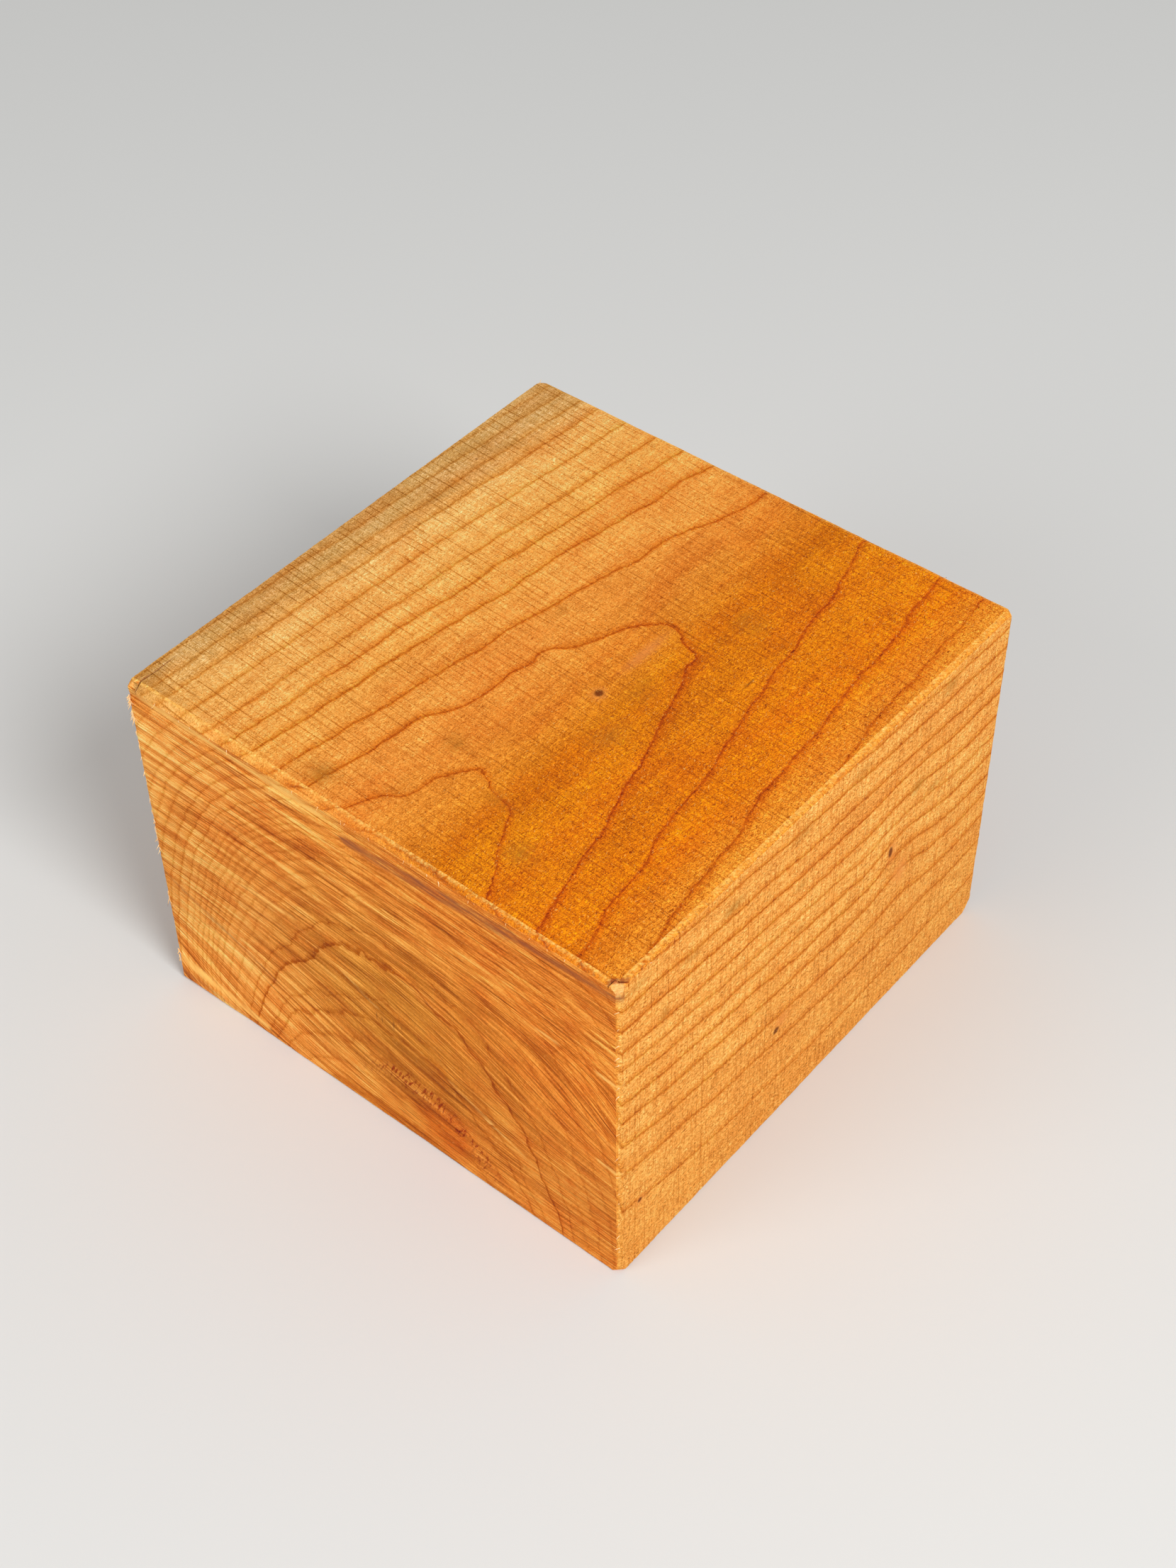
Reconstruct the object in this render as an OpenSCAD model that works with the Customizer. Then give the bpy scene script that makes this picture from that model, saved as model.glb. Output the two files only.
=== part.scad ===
/* [Blank] */
// Width across the grain
blank_width = 150; // [110:1:220]
// Length along the grain, between the two sawn ends
blank_length = 152.4; // [110:0.1:220]
// Thickness from the bottom to the top
blank_height = 107.6; // [70:0.1:150]

/* [Upright edges] */
// Flat cut on the front left upright edge
front_left_cut = 0.4; // [0.3:0.1:3]
// Flat cut on the front right upright edge
front_right_cut = 1; // [0.5:0.1:3]
// Radius of the back right upright edge
back_right_radius = 0.7; // [0.5:0.1:6]
// Radius of the back left upright edge
back_left_radius = 3.5; // [0.5:0.1:6]

/* [Top edges] */
// Width of the front bevel on the top, at its left end
front_bevel_left = 2.4; // [1.5:0.1:4]
// Width of the front bevel on the top, at its right end
front_bevel_right = 1.3; // [0.5:0.1:1.5]
// Slope of the front bevel, in degrees down from the top
front_bevel_slope = 42; // [20:1:60]
// Width of the right bevel on the top
right_bevel = 1.6; // [0.5:0.1:4]
// Slope of the right bevel, in degrees down from the top
right_bevel_slope = 27; // [20:1:60]
// Width of the eased edge at the back and the left of the top
eased_top = 0.3; // [0.2:0.1:2]

/* [Bottom edges] */
// Width of the eased edge all round the bottom
eased_bottom = 0.3; // [0.2:0.1:2]
// Reach of the knocked-off front right bottom corner along each edge
front_right_corner = 2.6; // [1:0.1:8]
// Reach of the knocked-off back right bottom corner along each edge
back_right_corner = 4; // [1:0.1:8]
// Reach of the knocked-off front left bottom corner along each edge
front_left_corner = 1.2; // [1:0.1:8]

/* [Knocked top corner at the back right] */
// Reach of the knocked facet along the back
knocked_along_back = 1.9; // [1:0.1:6]
// Reach of the knocked facet along the right side
knocked_along_side = 1.5; // [1:0.1:6]
// Reach of the knocked facet down the upright edge
knocked_down = 2.4; // [1:0.1:6]

/* [Saw flute under the front bevel] */
// Radius of the flute's hollow
flute_radius = 7; // [4:0.5:15]
// Depth of the flute at the left end of the blank
flute_depth = 0.55; // [0.2:0.05:1]
// Middle of the flute below the top
flute_drop = 4.5; // [3:0.1:8]
// Length over which the flute fades out, from the left end
flute_length = 110; // [40:1:110]

/* [Saw step at the foot of the front] */
// How far the foot stands out from the front at the left end
foot_depth = 0.7; // [0.3:0.1:2]
// Length over which the foot fades into the front
foot_length = 28; // [10:1:60]
// Height of the foot's upright part at the left end
foot_height = 6; // [3:0.1:12]
// Height of the sloped ledge above it at the left end
foot_ledge = 5; // [2:0.1:10]
// Fall of the ledge towards the right, in degrees
foot_fall = 18; // [5:1:30]

/* [Torn top corner at the front right] */
// Reach of the torn facet along the front
torn_along_front = 3.4; // [1.5:0.1:6]
// Reach of the torn facet along the right side
torn_along_side = 4; // [1.5:0.1:6]
// Reach of the torn facet down the upright edge
torn_down = 3.6; // [1.5:0.1:6]
// Width of the crack behind the torn facet
crack_width = 0.6; // [0.3:0.1:1.2]
// Depth of the crack below the top
crack_depth = 2; // [0.5:0.1:4]

/* [Drying check in the top] */
// Distance of the check from the left side
check_from_side = 2.7; // [1.5:0.1:12]
// Length of the check from the front
check_length = 15; // [5:1:40]
// Width of the check at the front
check_width = 0.4; // [0.2:0.05:1]
// Depth of the check below the top
check_depth = 3; // [1:0.1:8]
// How far the check wanders sideways on its way back
check_drift = 0.5; // [0:0.1:1.5]

/* [Hidden] */
$fn = 96;

// The origin is under the middle of the whole blank, with the foot counted in its length.
overall_length = blank_length + foot_depth;
left_x = -blank_width / 2;
right_x = blank_width / 2;
foot_y = -overall_length / 2;
front_y = foot_y + foot_depth;
back_y = overall_length / 2;
top_z = blank_height;

// Each cutter is a cube or a rod longer than any edge of the blank.
cutter = 2 * max(blank_width, overall_length, blank_height);
clear = 1; // how far a cutter starts outside the faces that it cuts

// Where the crack bends, as shares of the torn facet's reach along the front and the side.
crack_bends = [[1, 0], [0.60, 0.40], [0.45, 0.42], [0, 1]];

front_bevel_taper = atan((front_bevel_left - front_bevel_right) / blank_width);
flute_taper = atan(flute_depth / flute_length);
foot_flat = front_left_cut + foot_depth; // run of the foot before it starts to fade
ledge_slope = atan(foot_ledge / foot_depth);

// Removes the space above its own XY plane.
module half_space() {
    translate([-cutter / 2, -cutter / 2, 0]) cube(cutter);
}

// A long edge cutter along X: its face drops towards -Y by slope, from a line set in by width.
module edge_cutter(width, slope) {
    translate([0, width, 0]) rotate([slope, 0, 0]) half_space();
}

// Cuts a corner off, from the corner at the origin. The signs of reach point out of the blank.
module corner_cutter(reach) {
    outward = [1 / reach.x, 1 / reach.y, 1 / reach.z];
    length = norm(outward);
    rotate([0, acos(outward.z / length), atan2(outward.y, outward.x)])
        translate([0, 0, -1 / length]) half_space();
}

// Flat cut down an upright edge, from the edge at the origin. The signs of cut point out.
module upright_cutter(cut) {
    rotate([0, 90, atan2(cut.y, cut.x)])
        translate([0, 0, -norm(cut) / 2]) half_space();
}

// What a radius leaves outside it, with the sharp edge at the origin and the blank in +X +Y.
module round_waste(radius) {
    difference() {
        translate([-clear, -clear, -clear])
            cube([radius + clear, radius + clear, blank_height + 2 * clear]);
        translate([radius, radius, -2 * clear]) cylinder(r = radius, h = blank_height + 4 * clear);
    }
}

// The blank as the saw left it, with a front that is flat down to the bottom.
module sawn_block() {
    translate([left_x, front_y, 0]) cube([blank_width, blank_length, blank_height]);
}

// The wedge left proud at the bottom of the front, where the last cut stopped short.
module saw_foot() {
    difference() {
        linear_extrude(height = foot_height + foot_ledge / cos(foot_fall))
            polygon([
                [left_x, foot_y],
                [left_x + foot_flat, foot_y],
                [left_x + foot_length, front_y],
                [left_x + foot_length, front_y + clear],
                [left_x, front_y + clear]
            ]);
        translate([left_x, foot_y, foot_height])
            rotate([ledge_slope, foot_fall, 0]) half_space();
    }
}

module upright_edges() {
    translate([left_x, front_y, 0]) upright_cutter([-front_left_cut, -front_left_cut]);
    translate([right_x, front_y, 0]) upright_cutter([front_right_cut, -front_right_cut]);
    translate([right_x, back_y, 0]) rotate(180) round_waste(back_right_radius);
    translate([left_x, back_y, 0]) rotate(270) round_waste(back_left_radius);
}

module top_edges() {
    translate([left_x, front_y + front_bevel_left, top_z])
        rotate([front_bevel_slope, 0, -front_bevel_taper]) half_space();
    translate([right_x, 0, top_z]) rotate(90) edge_cutter(right_bevel, right_bevel_slope);
    translate([left_x, 0, top_z]) rotate(-90) edge_cutter(eased_top, 45);
    translate([0, back_y, top_z]) rotate(180) edge_cutter(eased_top, 45);
}

module bottom_edges() {
    mirror([0, 0, 1]) {
        translate([0, foot_y, 0]) edge_cutter(eased_bottom + foot_depth, 45);
        translate([right_x, 0, 0]) rotate(90) edge_cutter(eased_bottom, 45);
        translate([left_x, 0, 0]) rotate(-90) edge_cutter(eased_bottom, 45);
        translate([0, back_y, 0]) rotate(180) edge_cutter(eased_bottom, 45);
    }
}

module knocked_corners() {
    translate([right_x, front_y, 0])
        corner_cutter([front_right_corner, -front_right_corner, -front_right_corner]);
    translate([right_x, back_y, 0])
        corner_cutter([back_right_corner, back_right_corner, -back_right_corner]);
    translate([left_x, front_y, 0])
        corner_cutter([-front_left_corner, -front_left_corner, -front_left_corner]);
    translate([right_x, back_y, top_z])
        corner_cutter([knocked_along_back, knocked_along_side, knocked_down]);
}

// A shallow hollow along the front, deepest at the left end.
module saw_flute() {
    translate([left_x, front_y + flute_depth - flute_radius, top_z - flute_drop])
        rotate([0, 90, -flute_taper])
            translate([0, 0, -cutter / 2]) cylinder(r = flute_radius, h = cutter);
}

// A point of the crack, measured from the torn corner as a share of the torn facet.
function crack_point(share) = [-share.x * torn_along_front, share.y * torn_along_side];

// The torn facet and the ragged crack that runs behind it.
module torn_corner() {
    last = len(crack_bends) - 1;
    translate([right_x, front_y, top_z])
        corner_cutter([torn_along_front, -torn_along_side, torn_down]);
    translate([right_x, front_y, top_z - crack_depth])
        linear_extrude(height = crack_depth + clear)
            polygon([
                crack_point(crack_bends[0]) + [-crack_width, -clear],
                crack_point(crack_bends[0]) + [0, -clear],
                for (i = [1 : last - 1]) crack_point(crack_bends[i]),
                crack_point(crack_bends[last]) + [clear, 0],
                crack_point(crack_bends[last]) + [clear, crack_width],
                for (i = [last - 1 : -1 : 1]) crack_point(crack_bends[i]) + [0, crack_width]
            ]);
}

// A narrow crack with the grain, closing to nothing towards the back.
module drying_check() {
    translate([left_x + check_from_side, front_y, top_z - check_depth])
        linear_extrude(height = check_depth + clear)
            polygon([
                [-check_width / 2, -clear],
                [check_width / 2, -clear],
                [check_drift + check_width / 4, check_length / 2],
                [check_drift / 2, check_length],
                [check_drift - check_width / 4, check_length / 2]
            ]);
}

module turning_blank() {
    color("#d9954c")
        difference() {
            union() {
                sawn_block();
                saw_foot();
            }
            upright_edges();
            top_edges();
            bottom_edges();
            knocked_corners();
            saw_flute();
            torn_corner();
            drying_check();
        }
}

turning_blank();
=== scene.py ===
"""Bowl turning blank: a bandsawn block of cherry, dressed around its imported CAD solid."""

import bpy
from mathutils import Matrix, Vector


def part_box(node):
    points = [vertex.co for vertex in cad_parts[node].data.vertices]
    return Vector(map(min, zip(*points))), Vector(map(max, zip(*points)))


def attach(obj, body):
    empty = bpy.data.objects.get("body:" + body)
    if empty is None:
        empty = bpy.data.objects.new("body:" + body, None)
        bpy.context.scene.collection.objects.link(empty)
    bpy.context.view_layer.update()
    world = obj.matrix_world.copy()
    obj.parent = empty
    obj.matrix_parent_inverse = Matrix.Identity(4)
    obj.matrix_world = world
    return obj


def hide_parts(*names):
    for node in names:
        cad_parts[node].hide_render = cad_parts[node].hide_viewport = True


bl_info = {
    "name": "Bowl turning blank",
    "version": (1, 0, 0),
    "blender": (4, 5, 0),
    "location": "3D View > Sidebar > Turning blank",
    "description": "A bandsawn cherry block with its growth rings, saw marks, stains and raised fibres",
    "category": "Add Mesh",
}

import math
import random

import bpy
from mathutils import Matrix, Vector, noise

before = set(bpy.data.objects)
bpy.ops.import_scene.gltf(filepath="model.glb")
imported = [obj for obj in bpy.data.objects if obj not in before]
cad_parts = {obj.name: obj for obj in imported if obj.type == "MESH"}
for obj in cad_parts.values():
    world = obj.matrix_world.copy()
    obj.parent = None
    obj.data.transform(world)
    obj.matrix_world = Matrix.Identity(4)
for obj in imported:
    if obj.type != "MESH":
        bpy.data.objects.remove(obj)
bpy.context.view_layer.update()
NODE = "turning_blank"
LOW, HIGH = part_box(NODE)

# Lengths below are in millimetres, in the frame's axes, unless a name says otherwise.
MM = 0.001
PER_METRE = 1000.0
LEFT, FRONT = (value / MM for value in LOW[:2])
RIGHT, BACK, TOP = (value / MM for value in HIGH)
FOOT = 0.7  # how far the foot at the bottom left stands out from the front face
END_FACE = FRONT + FOOT

# The log. Its rings are skewed ovals whose centre drifts from the pith, below the blank, towards
# the left side as the tree grew. The log leaned, so the drift changes along the grain: each
# drift is a curve in the distance along the grain, its highest power first.
PITH = (5.2, -29.3)
DRIFT_ALONG_X = (1.3, -0.6, -12.0)
DRIFT_ALONG_Z = (0.8, -5.2, 23.9)
HALF_GRAIN_RUN = 76.0
DRIFT_FROM, DRIFT_TO = 5.0, 128.0
OVAL_AT_PITH, OVAL_OUTSIDE = 0.69, 1.044
SKEW_AT_PITH, SKEW_OUTSIDE = -0.06, 0.33

# One entry a year: the radius where the ring starts, how dark its line is, how deep its wood.
RINGS = (
    (25.5, 0.55, 0.5), (29.0, 0.25, 0.6), (32.9, 0.5, 0.4), (36.3, 0.6, 0.5), (38.8, 0.35, 0.3),
    (43.3, 1.0, 0.6), (46.5, 0.3, 0.5), (49.5, 0.25, 0.35), (52.5, 0.5, 0.5), (56.0, 0.6, 0.4),
    (59.4, 0.8, 0.5), (61.7, 0.75, 0.6), (63.8, 0.85, 0.4), (66.1, 0.8, 0.5), (68.2, 0.85, 0.45),
    (70.6, 0.8, 0.5), (73.2, 0.6, 0.4), (76.2, 1.0, 0.5), (80.6, 1.0, 0.75), (84.6, 0.9, 0.6),
    (89.9, 0.9, 0.5), (94.3, 0.8, 0.35), (99.4, 0.6, 0.45), (106.1, 0.65, 0.3), (112.9, 0.6, 0.5),
    (118.0, 0.55, 0.4), (123.6, 0.5, 0.55), (128.0, 0.45, 0.4), (133.0, 0.4, 0.5),
)
RINGS_END = 138.0
WIDEST_RING = 10.0

# Places where a knot or a hidden branch swells the rings: centre, size, and how far they move out.
SWELLINGS = (
    ((78.0, 36.0, 62.0), (30.0, 20.0, 42.0), 1.3), ((-4.0, -6.0, TOP), (7.0, 6.0, 10.0), 0.6),
    ((-8.0, -31.0, TOP), (9.0, 15.0, 12.0), -0.8), ((24.5, 14.5, TOP), (5.0, 4.0, 9.0), 0.22),
    ((18.0, -46.0, TOP), (10.0, 9.0, 12.0), -0.5), ((1.0, -60.0, TOP), (6.0, 8.0, 10.0), -0.55),
)

# The ring whose wood is torn out in short flecks on the front end, and the red wood inside it,
# with its centre, size and core.
FLECK_CENTRE, FLECK_REACH, FLECK_MIDDLE = (7.5, 0.0, -13.0), 38.5, 16.0
RED_HEART = ((20.0, END_FACE, 12.0), (13.0, 14.0, 12.0), 0.3)

# Colour of the wood from the pale sapwood side to the red heartwood side, on the top and on the
# ends, and up the sides, where it also holds a painted sheen and painted light that make the sides
# paler than the top and lighter towards the top: place and colour.
TOP_COLOURS = (
    (-70.0, "#f6b461"), (-33.0, "#fcaa4c"), (-14.0, "#fca143"), (22.0, "#de7d05"),
    (60.0, "#ea7e03"), (75.0, "#ee9028"),
)
END_COLOURS = ((-62.0, "#f9a248"), (-40.0, "#f4983e"), (4.0, "#f09437"), (30.0, "#eb8a2e"))
LIT_SIDE_COLOURS = ((5.0, "#f09d40"), (65.0, "#fca74b"))
# The darker middle of the ends: centre, size and core.
END_HEART = ((4.0, 0.0, 44.0), (72.0, 400.0, 62.0), 0.1)

# Brown mineral stains: centre, size and strength.
STAINS = (
    ((-64.0, -72.6, TOP), (9.0, 1.8, 4.0), 0.5), ((-71.0, -70.0, TOP), (5.0, 5.0, 4.0), 0.35),
    ((-18.0, -69.0, TOP), (9.0, 6.0, 4.0), 0.5), ((25.0, -18.0, TOP), (7.0, 10.0, 4.0), 0.45),
    ((28.0, 33.0, TOP), (7.0, 6.0, 4.0), 0.45), ((34.0, -59.0, TOP), (7.0, 6.0, 4.0), 0.45),
    ((0.0, -42.0, TOP), (6.0, 5.0, 4.0), 0.5), ((20.0, -50.0, TOP), (7.0, 4.0, 4.0), 0.45),
    ((22.0, -2.0, TOP), (7.0, 9.0, 4.0), 0.3), ((-11.0, 8.0, TOP), (5.0, 5.0, 4.0), 0.25),
    ((RIGHT, -70.0, 103.0), (4.0, 5.0, 2.5), 0.5), ((RIGHT, -50.0, 95.0), (4.0, 6.0, 3.0), 0.4),
    ((RIGHT, -35.0, 98.0), (4.0, 6.0, 3.5), 0.6), ((RIGHT, -10.0, 100.0), (4.0, 6.0, 3.0), 0.5),
    ((RIGHT, -60.0, 84.0), (4.0, 3.0, 3.5), 0.5), ((RIGHT, -9.0, 82.0), (4.0, 3.5, 2.5), 0.45),
    ((RIGHT, -8.0, 66.0), (4.0, 3.0, 2.5), 0.45), ((RIGHT, -60.0, 39.5), (4.0, 3.0, 2.0), 0.3),
    ((RIGHT, 14.0, 101.0), (4.0, 6.0, 3.5), 0.5), ((RIGHT, 50.0, 102.0), (4.0, 5.0, 4.0), 0.6),
    ((RIGHT, 40.0, 76.0), (4.0, 5.0, 3.5), 0.6), ((RIGHT, 48.0, 70.0), (4.0, 5.0, 2.5), 0.45),
)

# Pin knots: centre and half size of the dark heart.
KNOTS = (
    ((14.9, -8.8, TOP), (1.5, 1.6, 3.0)), ((RIGHT, 30.3, 60.4), (2.0, 1.1, 2.4)),
    ((RIGHT, -15.2, 34.9), (2.0, 1.5, 1.4)), ((RIGHT, -68.2, 23.2), (2.0, 1.1, 1.0)),
)
# Pinkish wood that the pin knots disturbed: centre and half size.
KNOT_WOOD = (
    ((14.6, 9.0, TOP), (2.6, 13.0, 3.0)), ((15.0, -9.0, TOP), (3.0, 3.6, 3.0)),
    ((RIGHT, 31.0, 60.0), (3.0, 3.0, 6.0)), ((RIGHT, 36.0, 49.0), (3.0, 5.0, 7.0)),
    ((RIGHT, -13.0, 37.0), (3.0, 4.5, 3.5)), ((RIGHT, -68.0, 23.0), (3.0, 3.0, 2.5)),
)

# The pale torn facet at the front right corner. Then the painted shade in the crack behind it and in
# the drying check. Each has its centre and half size, and a shade has its strength.
TORN_CORNER = ((73.6, -74.6, 105.6), (2.6, 2.4, 2.6))
CRACK_SHADES = (
    ((71.9, -75.3, TOP), (0.7, 0.9, 3.0), 0.5), ((72.5, -74.6, TOP), (0.9, 0.8, 3.0), 0.75),
    ((73.2, -74.0, TOP), (0.9, 0.6, 3.0), 0.75), ((73.8, -73.3, TOP), (0.7, 1.0, 3.0), 0.75),
    ((74.4, -72.3, TOP), (0.6, 1.0, 3.0), 0.6),
    ((-72.2, -73.0, TOP), (0.35, 4.0, 2.0), 0.45), ((-72.0, -66.5, TOP), (0.3, 5.0, 2.0), 0.35),
)
# Thin dark flecks of gum, and small holes painted as dark spots of shade: centre and half size.
GUM_AND_HOLES = (
    ((40.4, 16.0, TOP), (0.5, 3.8, 2.0)), ((8.7, 28.7, TOP), (0.6, 0.6, 1.0)),
    ((-61.5, -44.9, TOP), (0.5, 0.5, 1.0)), ((-65.8, 39.7, TOP), (0.6, 0.6, 1.0)),
    ((-18.3, END_FACE, 28.0), (1.1, 3.0, 0.5)), ((-59.0, END_FACE, 1.6), (0.35, 3.0, 1.3)),
    ((-0.6, END_FACE, 40.3), (0.35, 3.0, 2.2)), ((1.2, END_FACE, 40.0), (0.3, 3.0, 2.0)),
    ((5.0, END_FACE, 40.8), (0.5, 3.0, 2.4)), ((7.4, END_FACE, 41.6), (0.35, 3.0, 1.2)),
)

# Places where the bandsaw paused on the side faces, along the grain.
SAW_PAUSES = (-70.0, -44.6, -19.8, 5.0, 26.6, 29.6, 53.5)

# Textures of the wood: their grain size along the three axes, then detail, roughness and curl.
# The fuzz and the drag lines are drawn a little coarser than the real hairs, which are too fine
# to show.
THROUGH = 400.0  # a grain so long that it runs straight through the block
MOTTLE = ((3.0, 9.0, 3.0), 3.0, 0.65)
CLOUDS = ((10.0, 18.0, 10.0), 3.0, 0.6)
FLUSHES = ((9.0, 34.0, 7.0), 3.0, 0.6)
SLOW_SWAY = ((11.0, 17.0, 11.0), 1.0)
QUICK_SWAY = ((2.2, 3.4, 2.2), 2.0)
LINE_BREAKS = ((2.5, 5.0, 2.5), 3.0, 0.6)
FUZZ = ((0.42, 0.9, 0.42), 2.0, 0.6, 1.6)
STREAKS = ((1.5, 28.0, 1.5), 3.0, 0.6)
SAW_LINES = ((17.0, 0.42, 8.0), 2.0, 0.6)
SAW_SCORES = ((10.0, 0.36, 7.0), 1.0)
TOOTH_WANDER = ((40.0, 9.0, 40.0), 1.0)
TOOTH_PATCHES = ((13.0, 2.2, 13.0), 2.0, 0.6)
PAUSE_PATCHES = ((6.0, 6.0, 10.0), 1.0)
DRAG_HAIRS = ((16.0, THROUGH, 0.27), 3.0, 0.75)
DRAG_BUNDLES = ((36.0, THROUGH, 2.6), 3.0, 0.6)
END_FUZZ = ((0.35, THROUGH, 0.35), 2.0, 0.6)
TEAR_STREAKS = ((7.0, THROUGH, 0.8), 2.0)
FLECK_CLUMPS = ((5.0, THROUGH, 5.0), 1.0)
FLECKS = ((0.6, THROUGH, 3.0), 2.0, 0.6)
LIFTED_HAIRS = ((0.28, 1.5, 0.28), 1.0)
EDGE_BREAKS = ((1.2, 1.2, 1.2), 3.0, 0.7)
EDGE_TUFTS = ((0.8, 2.6, 0.8), 3.0, 0.65)
FINE_TUFTS = ((0.45, 1.4, 0.45), 2.0, 0.6)
DRY_MOTTLE = ((0.4, 0.4, 0.4), 2.0, 0.6)
# The heart rays: how many for each radian round the pith, and how many breaks for each
# millimetre outwards, then scale, detail and roughness.
RAYS_ROUND, RAYS_OUT = 130.0, 1 / 14.0
RAYS = (1.0, 2.0, 0.6)

# A noise keeps mostly between these two values, round its middle.
NOISE_LOW, NOISE_MIDDLE, NOISE_HIGH = 0.25, 0.5, 0.75
# How far the light of each texture strays from one.
FUZZ_LIGHT, STREAK_LIGHT, SAW_LINE_LIGHT, CLOUD_LIGHT = 0.52, 0.14, 0.16, 0.12
HAIR_LIGHT, BUNDLE_LIGHT, END_FUZZ_LIGHT, RAY_LIGHT = 0.95, 0.55, 0.3, 0.1
RED_MOTTLE, STAIN_MOTTLE, TEAR_LIGHT, EDGE_LIGHT = 0.5, 0.8, 0.9, 0.5
# Height of the bumps in millimetres: fuzz, saw lines and scores, then drag hairs, bundles and fuzz.
LONG_RELIEF = (0.30, 0.16, -0.08)
END_RELIEF = (0.26, 0.5, 0.08)
DRY_RELIEF = 0.03
# How light changes red, green and blue: a power for each, and the brightest that wood gets.
LIGHT_POWERS = (0.85, 1.3, 2.4)
BRIGHTEST = (0.97, 0.9, 0.8)

# Ramps: where each starts and ends, then its worth there, which is zero and one where only two
# numbers stand. Beside them stand covers and shades, as shares of one, and widths and drifts in
# millimetres.
FADE = (1.0, 0.0)
ON_FACE = (0.68, 0.85)  # how squarely a face looks along an axis
BETWEEN_FACES = (0.87, 0.95, *FADE)
SWAY_ON_TOP = (-50.0, -5.0, 1.7, 3.8)
SWAY_TO_SIDE = (RIGHT - 1.0, RIGHT - 0.2, 1.0, 0.55)
QUICK_SHARE, SWAY_STRETCH, FLATTEST_CROSSING = 1.1, 1.15, 0.07
LINE_OUTSIDE, LINE_INSIDE = (0.1, 0.7, *FADE), (0.0, 0.25, *FADE)
BAND_OUTSIDE, BAND_INSIDE = (0.0, 2.8, *FADE), (0.0, 0.9, *FADE)
LINE_SHOWN = (0.3, 0.6, 0.6, 1.0)
LINES_ON_END = (44.0, 60.0, 1.3, 0.6)
BAND_ON_END = 0.5
YEAR_TONES = (0.3, 0.7, 1.05, 0.95)
SAP_DRIFT = 14.0  # how far the mottle moves the border of the sapwood
SAPWOOD = (109.0 + SAP_DRIFT / 2, 123.0 + SAP_DRIFT / 2)
FLUSH_SHOWN, FLUSH_ON_SIDE = (0.42, 0.68, 0.0, 0.55), 0.3
PALER_BACK = (FRONT, BACK, 0.98, 1.07)
PAUSE_HALF_WIDTH, PAUSES_SHOWN, PAUSE_SHADE = 0.42, (0.36, 0.56, 0.15, 1.0), (0.0, 1.0, 1.0, 0.78)
TOOTH_GAP, TEETH_SHOWN, TOOTH_SHADE = (0.06, 0.24, *FADE), (0.42, 0.6), (-60.0, 10.0, 0.42, 0.26)
SCORES_SHOWN, SCORE_SHADES = (0.39, 0.28), (0.15, 0.1)
ROUGHER_TO_RIGHT, CALMER_TO_RIGHT = (-10.0, 40.0, 1.0, 1.5), (-20.0, 45.0, 1.0, 0.7)
TORN_BY_HAIRS, TORN_BY_BUNDLES, STREAKS_TORN, STREAK_COVER = 0.45, 0.55, (0.57, 0.68), 0.45
FLECK_RING, FLECK_DRIFT, FLECKS_SHOWN = (0.5, 5.5, *FADE), 9.0, (0.48, 0.64)
FLECK_FAN, FLECK_DEPTH = (10.0, 30.0, *FADE), (-10.0, 10.0, *FADE)
HAIRS_SHOWN, HAIR_COVER = (0.66, 0.74), 0.5
TORN_AND_LIT_FROM, TORN_AND_LIT_COVER, SCORCHED_FROM, SCORCH_COVER = (0.1, 1.0), 0.75, (-0.1, -1.0), 0.65
EDGE_DRIFT, EDGE_WORN, EDGE_COVER = 2.6, (2.2, 1.3), 0.4
# The crest is the pale top of the bevels: partly broken wood, partly a painted highlight.
CREST_WEAR_AND_HIGHLIGHT, TUFTS_SHOWN, TORN_FACET_COVER = (TOP - 0.9, TOP - 0.2, 0.15, 1.0), (0.32, 0.62, 0.1, 0.95), 0.2
DRY_SHOWN = (0.35, 0.65)
# Turns of the fibres: an axis and an angle.
FLECK_TURN = ((0.0, 1.0, 0.0), math.radians(-24.0))
HAIR_TURN = ((0.8, 0.0, -0.6), math.radians(24.0))
TUFT_TURN = ((0.0, 0.0, 1.0), math.radians(35.0))
# Patches of each kind: how much of a patch is its full strength, and how much the patches cover.
STAIN_CORE, STAIN_COVER = 0.0, 0.82
KNOT_WOOD_CORE, KNOT_WOOD_COVER = 0.0, 0.75
KNOT_CORE, KNOT_COVER = 0.45, 0.9
GUM_AND_HOLE_CORE, GUM_AND_HOLE_COVER = 0.1, 0.7
CRACK_SHADE_CORE = 0.35
# Roughness of the sawn wood and of dry splinters, and the specular level of both.
DULL, DRY, FAINT_SHEEN = 0.85, 0.9, 0.12

SAW_TILT = 0.055  # how far a saw line falls towards the front, for each step to the right
# The blade's drag lines on the ends fan out: nearly level at the top, steepest low down.
DRAG_FLATTEST, DRAG_STEEPEST = 0.03, 0.30
DRAG_MIDDLE, DRAG_LEAN, DRAG_SPREAD = 34.0, 0.15, 28.0
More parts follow.
